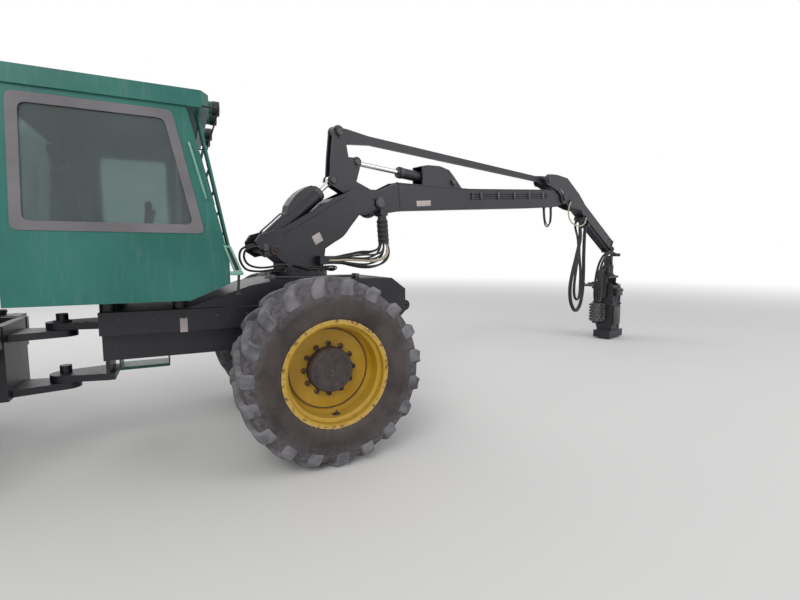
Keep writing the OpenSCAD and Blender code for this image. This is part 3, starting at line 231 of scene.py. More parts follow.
def circle(radius, sides):
    a = np.arange(sides) * 2 * math.pi / sides
    return np.stack([radius * np.cos(a), radius * np.sin(a)], axis=-1)


def tube(path, radius, sides=10):
    return sweep(path, circle(radius, sides))


def rod(move, a, b, radius, sides=16):
    return tube(move([a, b]), radius, sides)


# A profile of (radius, height) pairs turned about a direction of a frame, from one of its points
def turned(profile, move, at, out, steps=32):
    centre = move(np.array(at, float))
    axis = move(np.array(at, float) + np.array(out)) - centre
    axis /= np.linalg.norm(axis)
    u = squareTo(axis)
    u /= np.linalg.norm(u)
    a = (np.arange(steps) * 2 * math.pi / steps)[:, None]
    ring = np.cos(a) * u + np.sin(a) * np.cross(axis, u)
    r, h = np.asarray(profile, float).T[:, :, None, None]
    return (centre + r * ring + h * axis).reshape(-1, 3), cappedFaces(len(r), steps)


# A closed ring profile of (radius, distance outwards) pairs turned about a wheel's axle
def turnedRing(profile, move, steps):
    r, y = np.asarray(profile, float).T
    a = (np.arange(steps) * 2 * math.pi / steps)[:, None]
    return move(xyz(r * np.cos(a), y, r * np.sin(a))), gridFaces(steps, len(r), True, True)


# A block with rounded edges: each octant of a small sphere is pushed out to its own corner
def block(lo, hi, radius, move, turns=3):
    lo, hi = np.minimum(lo, hi).astype(float), np.maximum(lo, hi).astype(float)
    radius = min(radius, 0.49 * float(np.min(hi - lo)))
    half = (hi - lo) / 2 - radius
    q = np.linspace(0, math.pi / 2, turns)
    lon = np.concatenate([q + k * math.pi / 2 for k in range(4)])
    lat = np.concatenate([q - math.pi / 2, q])[:, None]
    corner = np.repeat([[1, 1], [-1, 1], [-1, -1], [1, -1]], turns, axis=0)
    x = radius * np.cos(lat) * np.cos(lon) + corner[:, 0] * half[0]
    y = radius * np.cos(lat) * np.sin(lon) + corner[:, 1] * half[1]
    z = radius * np.sin(lat) + np.repeat([-1, 1], turns)[:, None] * half[2]
    points = xyz(x, y, z).reshape(-1, 3) + (lo + hi) / 2
    points, faces = merged(points, cappedFaces(2 * turns, 4 * turns))
    return move(points), faces


def blocks(move, rows):
    return [block(*row[:3], move, *row[3:]) for row in rows]


# A flat outline of (x, z) pairs, set upright at y
def upright(outline, y):
    x, z = np.asarray(outline, float).T
    return xyz(x, y, z)


# A flat outline given a thickness across it
def slab(outline, y0, y1, move):
    return move(np.vstack([upright(outline, y0), upright(outline, y1)])), cappedFaces(2, len(outline))


# A flat ring between two outlines with the same number of points
def ringSlab(outer, inner, y0, y1, move):
    rings = [upright(outer, y0), upright(outer, y1), upright(inner, y1), upright(inner, y0)]
    return move(np.vstack(rings)), gridFaces(4, len(outer), True, True)


# An outline moved inwards by a distance; its points run round it in either direction
def inset(outline, distance):
    p = np.asarray(outline, float)
    following = np.roll(p, -1, axis=0)
    into = 1 if np.sum(p[:, 0] * following[:, 1] - following[:, 0] * p[:, 1]) > 0 else -1
    edge = following - p
    edge /= np.linalg.norm(edge, axis=1)[:, None]
    normal = into * np.stack([-edge[:, 1], edge[:, 0]], axis=-1)
    last = np.roll(normal, 1, axis=0)
    return p + distance * (normal + last) / (1 + np.sum(normal * last, axis=1))[:, None]


def box(x0, x1, z0, z1):
    return [(x0, z0), (x1, z0), (x1, z1), (x0, z1)]


# An outline with its corners rounded by short arcs
def rounded(outline, radius, steps=4):
    p = np.asarray(outline, float)
    out = []
    for a, b, c in zip(np.roll(p, 1, axis=0), p, np.roll(p, -1, axis=0)):
        back, ahead = np.linalg.norm(a - b), np.linalg.norm(c - b)
        r = min(radius, 0.45 * back, 0.45 * ahead)
        start, end = b + r * (a - b) / back, b + r * (c - b) / ahead
        for t in np.linspace(0, 1, steps):
            out.append((1 - t) ** 2 * start + 2 * t * (1 - t) * b + t**2 * end)
    return np.array(out)


# A weld: a thin bead with ripples along its path
def bead(move, path, radius):
    path = move(np.array(path))
    count = max(6, int(pathLength(path) / 0.004))
    fine = smoothPath(path, count) if len(path) > 2 else np.linspace(path[0], path[1], count)
    return sweep(fine, circle(radius, 6), 1 + 0.22 * np.sin(np.arange(count) * 2 * math.pi / 3))


# Evenly spaced (cosine, sine) pairs round a ring, from a part of a step on
def spokes(count, start=0.0):
    return [(math.cos(a), math.sin(a)) for a in (np.arange(count) + start) * 2 * math.pi / count]


# Hexagon bolts with a chamfered head on a round washer, at places of a frame and along one of its directions
def bolts(move, places, out, size, height):
    washer = [(0.95 * size, 0.0), (0.95 * size, 0.12 * height), (0.8 * size, 0.16 * height)]
    head = [(0.7 * size, 0.1 * height), (0.7 * size, 0.86 * height), (0.56 * size, height)]
    kinds = (washer, 20), (head, 6)
    return [turned(profile, move, p, out, sides) for p in places for profile, sides in kinds]


def hexColour(h):
    c = [int(h[i:i + 2], 16) / 255 for i in (1, 3, 5)]
    return tuple(v / 12.92 if v <= 0.04045 else ((v + 0.055) / 1.055) ** 2.4 for v in c) + (1.0,)


# Adds a shader node: its settings by name, its inputs as fixed values or as links from other sockets
def addNode(tree, kind, inputs, **settings):
    node = tree.nodes.new("ShaderNode" + kind)
    for key, value in settings.items():
        setattr(node, key, value)
    for key, value in inputs.items():
        if isinstance(value, bpy.types.NodeSocket):
            tree.links.new(value, node.inputs[key])
        else:
            node.inputs[key].default_value = value
    return node.outputs


def finish(name, slot, colour, patch=None, **values):
    v = {
        "dustColour": "#8d8478", "rustColour": "#6b3d22", "rough": 0.5, "metal": 0.0, "dust": 0.3,
        "dustAll": 0.06, "rust": 0.1, "edge": 0.0, "patchScale": 2.2, "grainScale": 90.0, "bump": 0.15,
        "bumpDistance": 0.002, "streak": 0.0, "transmission": 0.0, "sheen": 0.0, "ring": None,
        "ringColour": "#6b3d22", "ringAmount": 0.8, "ringRust": 0.0,
    }
    v.update(values)
    m = bpy.data.materials.new(name)
    m.use_nodes = True
    tree = m.node_tree
    shader = tree.nodes["Principled BSDF"].inputs
    shader["Metallic"].default_value = v["metal"]
    shader["Transmission Weight"].default_value = v["transmission"]
    shader["Sheen Weight"].default_value = v["sheen"]
    where = addNode(tree, "TexCoord", {})["Object"]

    def noise(scale, detail=4.0, rough=0.55, at=where):
        grain = {"Vector": at, "Scale": scale, "Detail": detail, "Roughness": rough}
        return addNode(tree, "TexNoise", grain)["Fac"]

    def ramp(value, low, high, a=0.0, b=1.0):
        ends = {"Value": value, "From Min": low, "From Max": high, "To Min": a, "To Max": b}
        return addNode(tree, "MapRange", ends)["Result"]

    def maths(kind, a, b):
        return addNode(tree, "Math", {0: a, 1: b}, operation=kind, use_clamp=True)[0]

    # sockets 0, 6 and 7 of a colour mix are its factor, A and B, and its colour comes out of socket 2
    def mixed(fac, a, b):
        b = hexColour(b) if isinstance(b, str) else b
        return addNode(tree, "Mix", {0: fac, 6: a, 7: b}, data_type="RGBA")[2]

    cloud = noise(v["patchScale"], 5.0)
    speck = noise(v["grainScale"], 3.0, 0.6)
    fine = noise(v["grainScale"] * 0.22, 6.0, 0.65)
    colour = mixed(ramp(cloud, 0.38, 0.66), hexColour(colour), patch or colour)
    if v["streak"] > 0:
        long = addNode(tree, "Mapping", {"Vector": where, "Scale": (3.0, 3.0, 0.35)})["Vector"]
        run = ramp(noise(9.0, 3.0, 0.6, long), 0.52, 0.72, 0.0, v["streak"])
        colour = mixed(run, colour, v["dustColour"])
    normal = addNode(tree, "NewGeometry", {})["Normal"]
    upward = ramp(addNode(tree, "SeparateXYZ", {0: normal})["Z"], 0.15, 0.95, 0.0, v["dust"])
    dust = maths("MULTIPLY", upward, ramp(fine, 0.3, 0.62))
    dust = maths("ADD", dust, maths("MULTIPLY", ramp(cloud, 0.35, 0.75), v["dustAll"]))
    colour = mixed(dust, colour, v["dustColour"])
    if v["ring"]:
        # ring holds the axle's x and z, and the radii where the second colour begins and is full
        axleX, axleZ, start, full = v["ring"]
        centred = {"Vector": where, "Location": (-axleX, 0.0, -axleZ), "Scale": (1.0, 0.0, 1.0)}
        about = addNode(tree, "Mapping", centred)["Vector"]
        far = addNode(tree, "VectorMath", {0: about}, operation="LENGTH")
        outside = ramp(far["Value"], start, full)
        band = maths("MULTIPLY", outside, ramp(fine, 0.4, 0.58, 0.15, v["ringAmount"]))
        colour = mixed(band, colour, v["ringColour"])
        if v["ringRust"] > 0:
            spots = maths("MULTIPLY", outside, ramp(noise(24.0, 4.0, 0.6), 0.53, 0.6, 0.0, v["ringRust"]))
            colour = mixed(spots, colour, v["rustColour"])
    rusty = maths("MULTIPLY", ramp(fine, 0.6, 0.7), ramp(cloud, 0.45, 0.65, 0.0, v["rust"]))
    if v["edge"] > 0:
        bevel = addNode(tree, "Bevel", {"Radius": 0.006}, samples=4)["Normal"]
        turn = addNode(tree, "VectorMath", {0: bevel, 1: normal}, operation="DOT_PRODUCT")["Value"]
        worn = maths("MULTIPLY", ramp(turn, 0.97, 0.86), ramp(fine, 0.42, 0.58, 0.0, v["edge"]))
        rusty = maths("ADD", rusty, worn)
    tree.links.new(mixed(rusty, colour, v["rustColour"]), shader["Base Color"])
    rough = ramp(speck, 0.3, 0.7, v["rough"] - 0.06, v["rough"] + 0.08)
    dull = maths("MULTIPLY", maths("ADD", dust, rusty), 0.4)
    tree.links.new(maths("ADD", rough, dull), shader["Roughness"])
    if v["bump"] > 0:
        height = maths("ADD", maths("MULTIPLY", speck, 0.4), maths("MULTIPLY", fine, 0.6))
        bump = {"Strength": v["bump"], "Distance": v["bumpDistance"], "Height": height}
        tree.links.new(addNode(tree, "Bump", bump)["Normal"], shader["Normal"])
    return m


blackPaint = finish(
    "black_paint", "black_paint", "#0f1119", "#171a25", dustColour="#5b5a5e", rustColour="#57382a",
    rough=0.4, dust=0.26, dustAll=0.05, rust=0.5, edge=0.5, streak=0.05)
greenPaint = finish(
    "green_paint", "green_paint", "#0b5f55", "#126d62", dustColour="#75857c", rustColour="#5d4a35",
    rough=0.38, dustAll=0.07, rust=0.12, edge=0.25, streak=0.16, patchScale=1.4)
paleGreen = finish(
    "pale_green", "green_paint", "#5f9c88", "#8fb8a8", dustColour="#9aa597", dust=0.4, rust=0.3, edge=0.4)
hubRust = finish(
    "hub_rust", "dark_steel", "#3d3536", "#4c4243", dustColour="#6f625b", rustColour="#5c3c2f",
    rough=0.8, dust=0.35, dustAll=0.12, rust=0.8, patchScale=12.0, bump=0.5, bumpDistance=0.004)
tyreRubber = finish(
    "tyre_rubber", "tyre_rubber", "#3d3b3d", "#4b4848", dustColour="#857f7c", rustColour="#5a4f48",
    rough=0.82, dust=0.75, dustAll=0.38, rust=0.5, patchScale=5.0, grainScale=120.0, bump=0.5,
    bumpDistance=0.004)
lugRubber = finish(
    "lug_rubber", "tyre_rubber", "#4b4a50", "#7b7a80", dustColour="#8f8a88", rustColour="#51473f", rough=0.8,
    dust=0.7, dustAll=0.38, rust=0.5, patchScale=6.0, grainScale=110.0, bump=0.7, bumpDistance=0.005)
darkSteel = finish(
    "dark_steel", "dark_steel", "#4d4d50", "#5b5a5b", dustColour="#7a7068", rustColour="#64402c",
    rough=0.45, metal=0.8, dust=0.25, rust=0.7, edge=0.3, patchScale=8.0)
wornSteel = finish(
    "worn_steel", "dark_steel", "#5b5a5c", "#6f6d6c", dustColour="#7a7068", rustColour="#6a4630",
    rough=0.42, metal=0.9, dust=0.2, rust=0.6, patchScale=10.0)
chromeRod = finish(
    "chrome_rod", "dark_steel", "#c9cacd", "#d6d7da", dustColour="#9b948a",
    rough=0.14, metal=1.0, dust=0.12, dustAll=0.03, rust=0.05, bump=0.03)
engineIron = finish(
    "engine_iron", "engine_iron", "#54575a", "#45474a", dustColour="#6b655d",
    rough=0.6, metal=0.4, dust=0.5, rust=0.5, bump=0.6, bumpDistance=0.006)
darkPlastic = finish(
    "dark_plastic", "dark_plastic", "#1c1d20", "#232427", dustColour="#6d675f",
    rough=0.55, dust=0.35, rust=0.0, grainScale=260.0, bump=0.2, bumpDistance=0.001)
hoseRubber = finish(
    "hose_rubber", "hose_rubber", "#1a1b1f", "#232429", dustColour="#68625b",
    rough=0.55, dust=0.45, dustAll=0.1, rust=0.0, grainScale=300.0, bump=0.25, bumpDistance=0.001)
paleHose = finish(
    "pale_hose", "hose_rubber", "#b7ab95", "#cdbfa6", dustColour="#8a7d6a", rough=0.6, rust=0.2,
    grainScale=220.0, bump=0.2)
sealGrey = finish(
    "seal_grey", "dark_plastic", "#6a6769", "#78757a", dustColour="#8f887f", rough=0.7, dust=0.4, rust=0.0,
    grainScale=200.0, bump=0.2, bumpDistance=0.001)
seatCloth = finish(
    "seat_cloth", "seat_cloth", "#2a2a2e", "#34343a", dustColour="#5f5b56", rough=0.92, dust=0.2, rust=0.0,
    grainScale=700.0, bump=0.6, bumpDistance=0.001, sheen=0.3)
windowGlass = finish(
    "window_glass", "window_glass", "#93a8a6", "#9fb2b0", dustColour="#9b958b", rough=0.08, dust=0.25,
    dustAll=0.1, rust=0.0, transmission=0.9, bump=0.0)
lampGlass = finish(
    "lamp_glass", "window_glass", "#d8dadc", "#e4e5e6", dustColour="#a8a29a", rough=0.12, dust=0.1, rust=0.0,
    transmission=0.4, bump=0.0)
redLamp = finish(
    "red_lamp", "window_glass", "#8e1c16", "#a3241b", rough=0.2, transmission=0.2, rust=0.0, bump=0.0)
blankPlate = finish(
    "blank_plate", "dark_plastic", "#b5a9a5", "#c4bab5", dustColour="#8d857c", rust=0.15, patchScale=14.0)
wheelPaint, casingRubber = {}, {}
for axle, x in (("front", 0.0), ("rear", place["rearX"])):
    at = float(x - place["shift"][0]), place["axleZ"]
    wheelPaint[axle] = finish(
        "yellow_wheel_" + axle, "yellow_paint", "#b58d12", "#c29a1e", dustColour="#a8935f",
        rustColour="#6a3f20", rough=0.45, dustAll=0.16, rust=0.5, edge=0.9, patchScale=5.0,
        ring=(*at, 0.426, 0.446), ringColour="#c9ad6c", ringAmount=0.85, ringRust=0.85)
    casingRubber[axle] = finish(
        "tyre_wall_" + axle, "tyre_rubber", "#37302f", "#463d3c", dustColour="#78716d", rustColour="#4d433d",
        rough=0.84, dust=0.6, dustAll=0.16, rust=0.5, patchScale=5.0, grainScale=120.0, bump=0.5,
        bumpDistance=0.004, ring=(*at, 0.6, 0.72), ringColour="#66646a", ringAmount=0.9)
print("finishes ready")

nodeFinish = {
    blackPaint: """front_frame front_axle rear_frame rear_axle tank rear_bumper crane_tower lift_barrel rocker
        reach_barrel boom pull_bar stick telescope tip_link rotator head_yoke head_frame""",
    greenPaint: "cab_shell cab_roof cab_door guards_and_steps hood",
    wheelPaint["front"]: "wheel_front_left wheel_front_right",
    wheelPaint["rear"]: "wheel_rear_left wheel_rear_right",
    tyreRubber: "tyre_front_left tyre_front_right tyre_rear_left tyre_rear_right",
    wornSteel: "feed_roller_left feed_roller_right knife_left knife_right saw_bar",
    darkSteel: "exhaust",
    chromeRod: "lift_rod reach_rod",
    engineIron: "engine_block",
    darkPlastic: "console grille",
    seatCloth: "operator_seat",
    windowGlass: "cab_glass door_glass",
    hoseRubber: "tower_hoses elbow_hoses head_hoses link_hoses",
}
for material, names in nodeFinish.items():
    for node in names.split():
        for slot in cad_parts[node].material_slots:
            slot.material = material

# Camera, at the photograph's viewing angle
view = {"at": (-1.153, -4.827, 1.8), "yaw": 26.2, "pitch": -5.7, "lens": 36 * 451 / 800}
camera = bpy.data.objects.new("camera", bpy.data.cameras.new("camera"))
bpy.context.scene.collection.objects.link(camera)
camera.location = fromLayout(view["at"])
camera.rotation_euler = (math.radians(90 + view["pitch"]), 0, math.radians(-view["yaw"]))
camera.data.lens = view["lens"]
camera.data.sensor_width = 36
camera.data.clip_end = 200
bpy.context.scene.camera = camera


# Hoses first. Strands of a bundle: the middle path with a place round it that turns slowly
def bundle(path, radius, count, turn=0.8):
    u, w = framesAlong(path)
    f = np.linspace(0, 1, len(path))[:, None]
    out = []
    for k in range(count):
        a = 2 * math.pi * k / count + turn * math.pi * f
        out.append(path + radius * (np.cos(a) * u + np.sin(a) * w))
    return out


elbowFan = {
    "from": 0.19, "rise": 0.26, "to": 0.95, "fall": 0.35,  # parts of the path where the strands lie apart
    "phase": 0.4, "spread": 1.9, "aside": 1.5, "lift": 0.06, "ring": 0.0325, "radius": 0.0116,
    "strands": 8, "pale": 7, "guarded": slice(24, 44, 3),  # the strand with a guard, and its points there
}


# Strands that spread in the bend's plane and aside, most at the middle of the path, and meet at both ends
def fanned(path, radius, count, v):
    u, w = framesAlong(path)
    f = np.linspace(0, 1, len(path))
    swell = np.clip((f - v["from"]) / v["rise"], 0, 1) * np.clip((v["to"] - f) / v["fall"], 0, 1)
    swell = (swell * swell * (3 - 2 * swell))[:, None]
    out = []
    for k in range(count):
        a = v["phase"] + 2 * math.pi * k / count
        away = math.cos(a) * (1 + v["aside"] * swell) * u + math.sin(a) * (1 + v["spread"] * swell) * w
        out.append(path + radius * away + v["lift"] * swell * np.array([0.0, 0.0, 1.0]))
    return out


# A hose of its real length along a path, which leaves the object and goes back into it
def freeHose(name, path, radius, material, body, replaced=None):
    piece = makePiece(name, tube(path, radius), material, body)
    tuple(path[0])
    round(pathLength(path), 4)
    [tuple(p) for p in path]
    if replaced:
        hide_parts(replaced)


# A point under the stick's hose carriers, at a length from the knee, square out from their face
def carrierEnd(along, y, out=0.0):
    s, z = alongArm(place["knee"], place["stickSlope"], along, 0.0397 - out)
    return s, y, z


# Routes in the crane's plane as (forward, left, height). The two big loops hang under the stick's carriers
headHoseA = [
    carrierEnd(0.9, -0.05), carrierEnd(0.9, -0.05, 0.12), (5.965, -0.135, 2.09), (5.8, -0.16, 1.77),
    (5.635, -0.172, 1.43), (5.57, -0.175, 1.165), (5.61, -0.18, 0.91), (5.79, -0.18, 0.745),
    (5.98, -0.175, 0.84), (6.085, -0.165, 1.1), (6.125, -0.15, 1.43), (6.165, -0.12, 1.82),
    carrierEnd(1.13, -0.05, 0.13), carrierEnd(1.13, -0.05),
]
headHoseB = [
    carrierEnd(0.9, 0.05), carrierEnd(0.9, 0.05, 0.12), (6.05, -0.05, 2.09), (5.9, -0.142, 1.79),
    (5.785, -0.168, 1.5), (5.738, -0.17, 1.25), (5.74, -0.17, 1.09), (5.785, -0.17, 0.985),
    (5.86, -0.169, 0.95), (5.935, -0.167, 0.985), (5.985, -0.16, 1.09), (6.01, -0.148, 1.25),
    (6.052, -0.122, 1.51), (6.12, -0.052, 1.85), carrierEnd(1.13, 0.05, 0.13), carrierEnd(1.13, 0.05),
]
# The link's hoses run from the clamp at the stick's tip round the link's right side to the rotator
linkHoseA = [
    (7.5102, -0.15, 1.7996), (7.4475, -0.15, 1.7996), (7.36, -0.15, 1.828), (7.2, -0.152, 1.848),
    (6.98, -0.153, 1.8), (6.79, -0.153, 1.65), (6.68, -0.151, 1.43), (6.64, -0.148, 1.2),
    (6.65, -0.142, 1.0), (6.71, -0.132, 0.885), (6.8, -0.12, 0.85), (6.885, -0.106, 0.9),
    (6.93, -0.09, 1.02), (6.955, -0.074, 1.17), (6.99, -0.046, 1.32), (7.065, -0.009, 1.43),
    (7.18, 0.02, 1.472), (7.3, 0.03, 1.48), (7.4022, 0.03, 1.48),
]
linkAside = [0.06] * 14 + [0.07, 0.08, 0.075, 0.06, 0.06]
linkHoseB = [(s, y - aside, z) for (s, y, z), aside in zip(linkHoseA, linkAside)]
elbowHose = [
    (1.03, -0.174, 2.2617), (1.03, -0.174, 2.18), (1.038, -0.175, 2.06), (1.05, -0.176, 1.93),
    (1.04, -0.177, 1.81), (0.985, -0.178, 1.728), (0.87, -0.178, 1.692), (0.74, -0.178, 1.69),
    (0.6, -0.177, 1.712), (0.47, -0.176, 1.738), (0.35, -0.175, 1.745), (0.2603, -0.175, 1.745),
]
tailHoses = [
    [(-0.5003, -0.152, 1.88), (-0.545, -0.152, 1.88), (-0.625, -0.152, 1.85), (-0.648, -0.152, 1.78),
     (-0.61, -0.152, 1.712), (-0.52, -0.152, 1.68), (-0.4, -0.152, 1.68), (-0.29, -0.152, 1.7),
     (-0.2053, -0.152, 1.7)],
    [(-0.5003, -0.108, 1.895), (-0.56, -0.108, 1.895), (-0.655, -0.11, 1.85), (-0.672, -0.112, 1.755),
     (-0.61, -0.112, 1.662), (-0.48, -0.112, 1.64), (-0.345, -0.11, 1.652), (-0.27, -0.108, 1.66),
     (-0.2053, -0.108, 1.66)],
]
# The column's hoses run on from the tail's port along the tower's foot and round into its front face
columnHose = [
    (-0.1553, -0.148, 1.7), (-0.105, -0.149, 1.698), (-0.03, -0.162, 1.678), (0.06, -0.182, 1.662),
    (0.15, -0.198, 1.662), (0.24, -0.204, 1.672), (0.31, -0.196, 1.674), (0.368, -0.166, 1.664),
    (0.394, -0.108, 1.643), (0.374, -0.05, 1.64), (0.318, -0.018, 1.652), (0.2407, -0.012, 1.662),
]
# Each row: name, route, strands, their ring's radius, a strand's radius, body, the CAD node they stand for
hoseRows = [
    ("head_hose_a", headHoseA, 5, 0.0215, 0.0122, "extension", "head_hoses"),
    ("head_hose_b", headHoseB, 4, 0.015, 0.01, "extension", None),
    ("link_hose_a", linkHoseA, 3, 0.0135, 0.011, "hanger", "link_hoses"),
    ("link_hose_b", linkHoseB, 3, 0.0135, 0.011, "hanger", None),
    ("column_hose_", columnHose, 3, 0.013, 0.0078, "tower", None),
]
for name, route, count, ring, radius, body, node in hoseRows:
    middle = fromCrane(smoothPath(route, 64))
    for k, strand in enumerate(bundle(middle, ring, count)):
        freeHose("%s%d" % (name, k + 1), strand, radius, hoseRubber, body, None if k else node)

# Under the elbow the strands leave a sleeve, fan out and come together at the column
middle = fromCrane(smoothPath(elbowHose, 72))
strands = fanned(middle, elbowFan["ring"], elbowFan["strands"], elbowFan) + fanned(middle, 0.0, 1, elbowFan)
for k, strand in enumerate(strands):
    rubber = paleHose if k == elbowFan["pale"] else hoseRubber
    node = None if k else "elbow_hoses"
    freeHose("elbow_hose_%d" % (k + 1), strand, elbowFan["radius"], rubber, "tower", node)
for k, route in enumerate(tailHoses):
    path = fromCrane(smoothPath(route, 44))
    freeHose("tail_hose_%d" % (k + 1), path, 0.0107, hoseRubber, "tower", None if k else "tower_hoses")
print("hoses laid")

# Tyres: a turned casing with moulded ribs, and rounded lugs swept from the middle to the shoulder
tyreValues = {
    "radius": 0.81, "halfWidth": 0.3, "lugHeight": 0.046, "lugs": 19, "lugBase": 0.092, "lugTop": 0.064,
    "lugSpread": 0.08, "crown": [(0.016, 0.255), (0.006, 0.21), (0.002, 0.15), (0.0, 0.08), (0.0, 0.0)],
    "sweep": 0.175, "steps": 152, "flange": 0.457, "seat": 0.4323, "rimHalf": 0.254,
    # the lug's outer and inner edge from the middle round the shoulder, as (distance from the middle, radius)
    "lugOuter": [
        (-0.024, 0.808), (0.06, 0.808), (0.15, 0.8065), (0.21, 0.801), (0.25, 0.793), (0.278, 0.779),
        (0.2925, 0.759), (0.2985, 0.733), (0.2992, 0.705), (0.297, 0.676), (0.2915, 0.648)],
    "lugInner": [
        (-0.024, 0.75), (0.06, 0.75), (0.15, 0.748), (0.205, 0.74), (0.235, 0.73), (0.25, 0.72),
        (0.258, 0.71), (0.264, 0.7), (0.268, 0.688), (0.274, 0.67), (0.28, 0.645)],
}


# The casing's outline, as (radius, distance from the middle): from bead to middle, then mirrored
def casing(v, move):
    tread = v["radius"] - v["lugHeight"]
    low, shoulder = v["flange"] + 0.008, tread - 0.022
    t = np.linspace(0, 1, 16)
    bulge = v["halfWidth"] - 0.034 * (2 * t - 1) ** 2
    ribs = 0.004 * np.exp(-((t - 0.16) / 0.035) ** 2) + 0.005 * np.exp(-((t - 0.62) / 0.03) ** 2)
    wall = np.stack([low + t * (shoulder - low), bulge + ribs], axis=-1)
    seat, rim = v["seat"] + 0.0003, v["rimHalf"] - 0.0003
    bead = [(seat, v["rimHalf"] - 0.046), (seat, rim), (v["flange"] + 0.004, rim)]
    crown = [(tread - lower, y) for lower, y in v["crown"]]
    half = np.vstack([bead, wall, crown])
    return turnedRing(np.vstack([half, half[:-1][::-1] * np.array([1, -1])]), move, v["steps"])


# Lugs: u runs from the middle of the tread round the shoulder, w runs over the rounded section,
# each lug a little dented in its own way, and the two rows half a step apart
def lugs(v, move):
    nu, nw = 22, 11
    u = np.linspace(0, 1, nu)[:, None]
    w = np.linspace(-1, 1, nw)[None, :]
    outer, inner = smoothPath(v["lugOuter"], nu), smoothPath(v["lugInner"], nu)
    rise = np.clip((1 - np.abs(w)) / 0.36, 0, 1) ** 0.55
    ends = np.clip(np.minimum(u / 0.06, (1.02 - u) / 0.1), 0, 1) ** 0.5
    bend = v["sweep"] * np.clip(outer[:, :1] / v["halfWidth"], 0, 1) ** 0.82 - 0.07
    width = (v["lugBase"] + v["lugSpread"] * u**0.8) / 2 - (v["lugBase"] - v["lugTop"]) / 2 * rise
    section = bend + np.sign(w) * width * np.abs(w) ** 0.6
    faces = gridFaces(nu, nw) + [tuple(range(nw))[::-1], tuple(range((nu - 1) * nw, nu * nw))]
    faces += [(i * nw, (i + 1) * nw, (i + 2) * nw - 1, (i + 1) * nw - 1) for i in range(nu - 1)]
    shapes = []
    for side in (1, -1):
        for k in range(v["lugs"]):
            turn = (k + (0 if side > 0 else 0.5)) * 2 * math.pi / v["lugs"]
            waves = (1 + np.sin(13 * u + 4 * w + 3.1 * k)) * (1 + np.cos(7 * u * w + 1.7 * k + side))
            mix = rise * ends * (1 - 0.025 * waves)
            lateral = inner[:, :1] + (outer - inner)[:, :1] * mix
            r = inner[:, 1:] + (outer - inner)[:, 1:] * mix
            a = turn + (section + 0.004 * np.sin(9 * u + 2.3 * k)) / v["radius"]
            shapes.append((move(xyz(r * np.cos(a), side * lateral, r * np.sin(a))), faces))
    return shapes


wheels = []
for axle, x in (("front", 0.0), ("rear", place["rearX"])):
    for side, sign in (("left", 1), ("right", -1)):
        name = axle + "_" + side
        wheels.append((axle, name, name + "_wheel", fromWheel(x, sign)))
for axle, name, body, move in wheels:
    tyre = makePiece("tyre_casing_" + name, casing(tyreValues, move), casingRubber[axle], body, 60)
    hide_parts("tyre_" + name)
    makePiece("tyre_lugs_" + name, lugs(tyreValues, move), lugRubber, body, 50)
print("tyres made")

# Wheels: a rusty hub with its cap and nuts, a valve in its collar, a dark ring at the disc's edge that paints
# the shade of the gap between disc and barrel, the rim's rolled edge
wheelValues = {
    "disc": 0.018, "hubR": 0.1925, "hubOut": 0.1155, "nutR": 0.222, "nuts": 12, "capR": 0.138, "capBolts": 10,
    "barrelR": 0.3895, "valveY": 0.118,
    "hubFoot": [(0.0, -0.002), (0.008, 0.004), (0.001, 0.012)],  # from the hub's radius and the disc
    "hubFace": [
        (0.18, 0.0), (0.158, 0.001), (0.156, -0.003), (0.152, 0.001), (0.062, 0.001), (0.058, 0.006),
        (0.04, 0.007), (0.037, 0.003), (0.022, 0.003), (0.02, 0.014), (0.004, 0.016)],  # from the hub's end
    # the dark ring at the disc's outer edge, as (radius, height over the disc): painted shade of the gap
    # between disc and barrel
    "gapShadeRing": [(0.356, -0.0004), (0.356, 0.0032), (0.352, 0.004), (0.3475, 0.0022), (0.3475, -0.0004)],
    "lip": [(0.4595, 0.26), (0.4625, 0.264), (0.46, 0.2672), (0.452, 0.2665), (0.448, 0.2625), (0.45, 0.26)],
    "collar": [(0.036, 0.0), (0.036, 0.005), (0.029, 0.008), (0.02, 0.01), (0.012, 0.016)],
    "stem": [(0.033, 0.0, 0.001), (0.033, 0.0, 0.02), (0.031, 0.012, 0.034), (0.03, 0.034, 0.04)],
}
v = wheelValues
out = (0, 1, 0)
for axle, name, body, move in wheels:
    foot = [(v["hubR"] + r, v["disc"] + h) for r, h in v["hubFoot"]]
    face = [(r, v["hubOut"] + h) for r, h in v["hubFace"]]
    hub = foot + [(v["hubR"], 0.096), (0.188, 0.104)] + face
    makePiece("hub_" + name, turned(hub, move, (0, 0, 0), out, 72), hubRust, body)
    nuts = [(v["nutR"] * c, v["disc"] + 0.001, v["nutR"] * s) for c, s in spokes(v["nuts"])]
    studs = [rod(move, (x, y + 0.02, z), (x, y + 0.044, z), 0.0105, 12) for x, y, z in nuts]
    makePiece("hub_nuts_" + name, bolts(move, nuts, out, 0.0262, 0.0295) + studs, hubRust, body, 30)
    caps = [(v["capR"] * c, v["hubOut"] + 0.001, v["capR"] * s) for c, s in spokes(v["capBolts"], 0.5)]
    makePiece("hub_cap_bolts_" + name, bolts(move, caps, out, 0.0085, 0.008), hubRust, body, 30)
    y, z = v["valveY"], -v["barrelR"]
    stem = [(x, y + away, z + up) for x, away, up in v["stem"]]
    collar = turned(v["collar"], move, stem[0], (0, 0, 1), 24)
    makePiece("valve_" + name, [collar, tube(move(smoothPath(stem, 12)), 0.0075)], darkSteel, body)
    # A dark rusty ring at the disc's outer edge: painted shade of the gap between disc and barrel
    gapShadeRing = [(r, v["disc"] + h) for r, h in v["gapShadeRing"]]
    makePiece("disc_gap_shade_" + name, turnedRing(gapShadeRing, move, 96), hubRust, body, 60)
    makePiece("rim_edge_" + name, turnedRing(v["lip"], move, 96), wheelPaint[axle], body, 60)
print("wheels dressed")

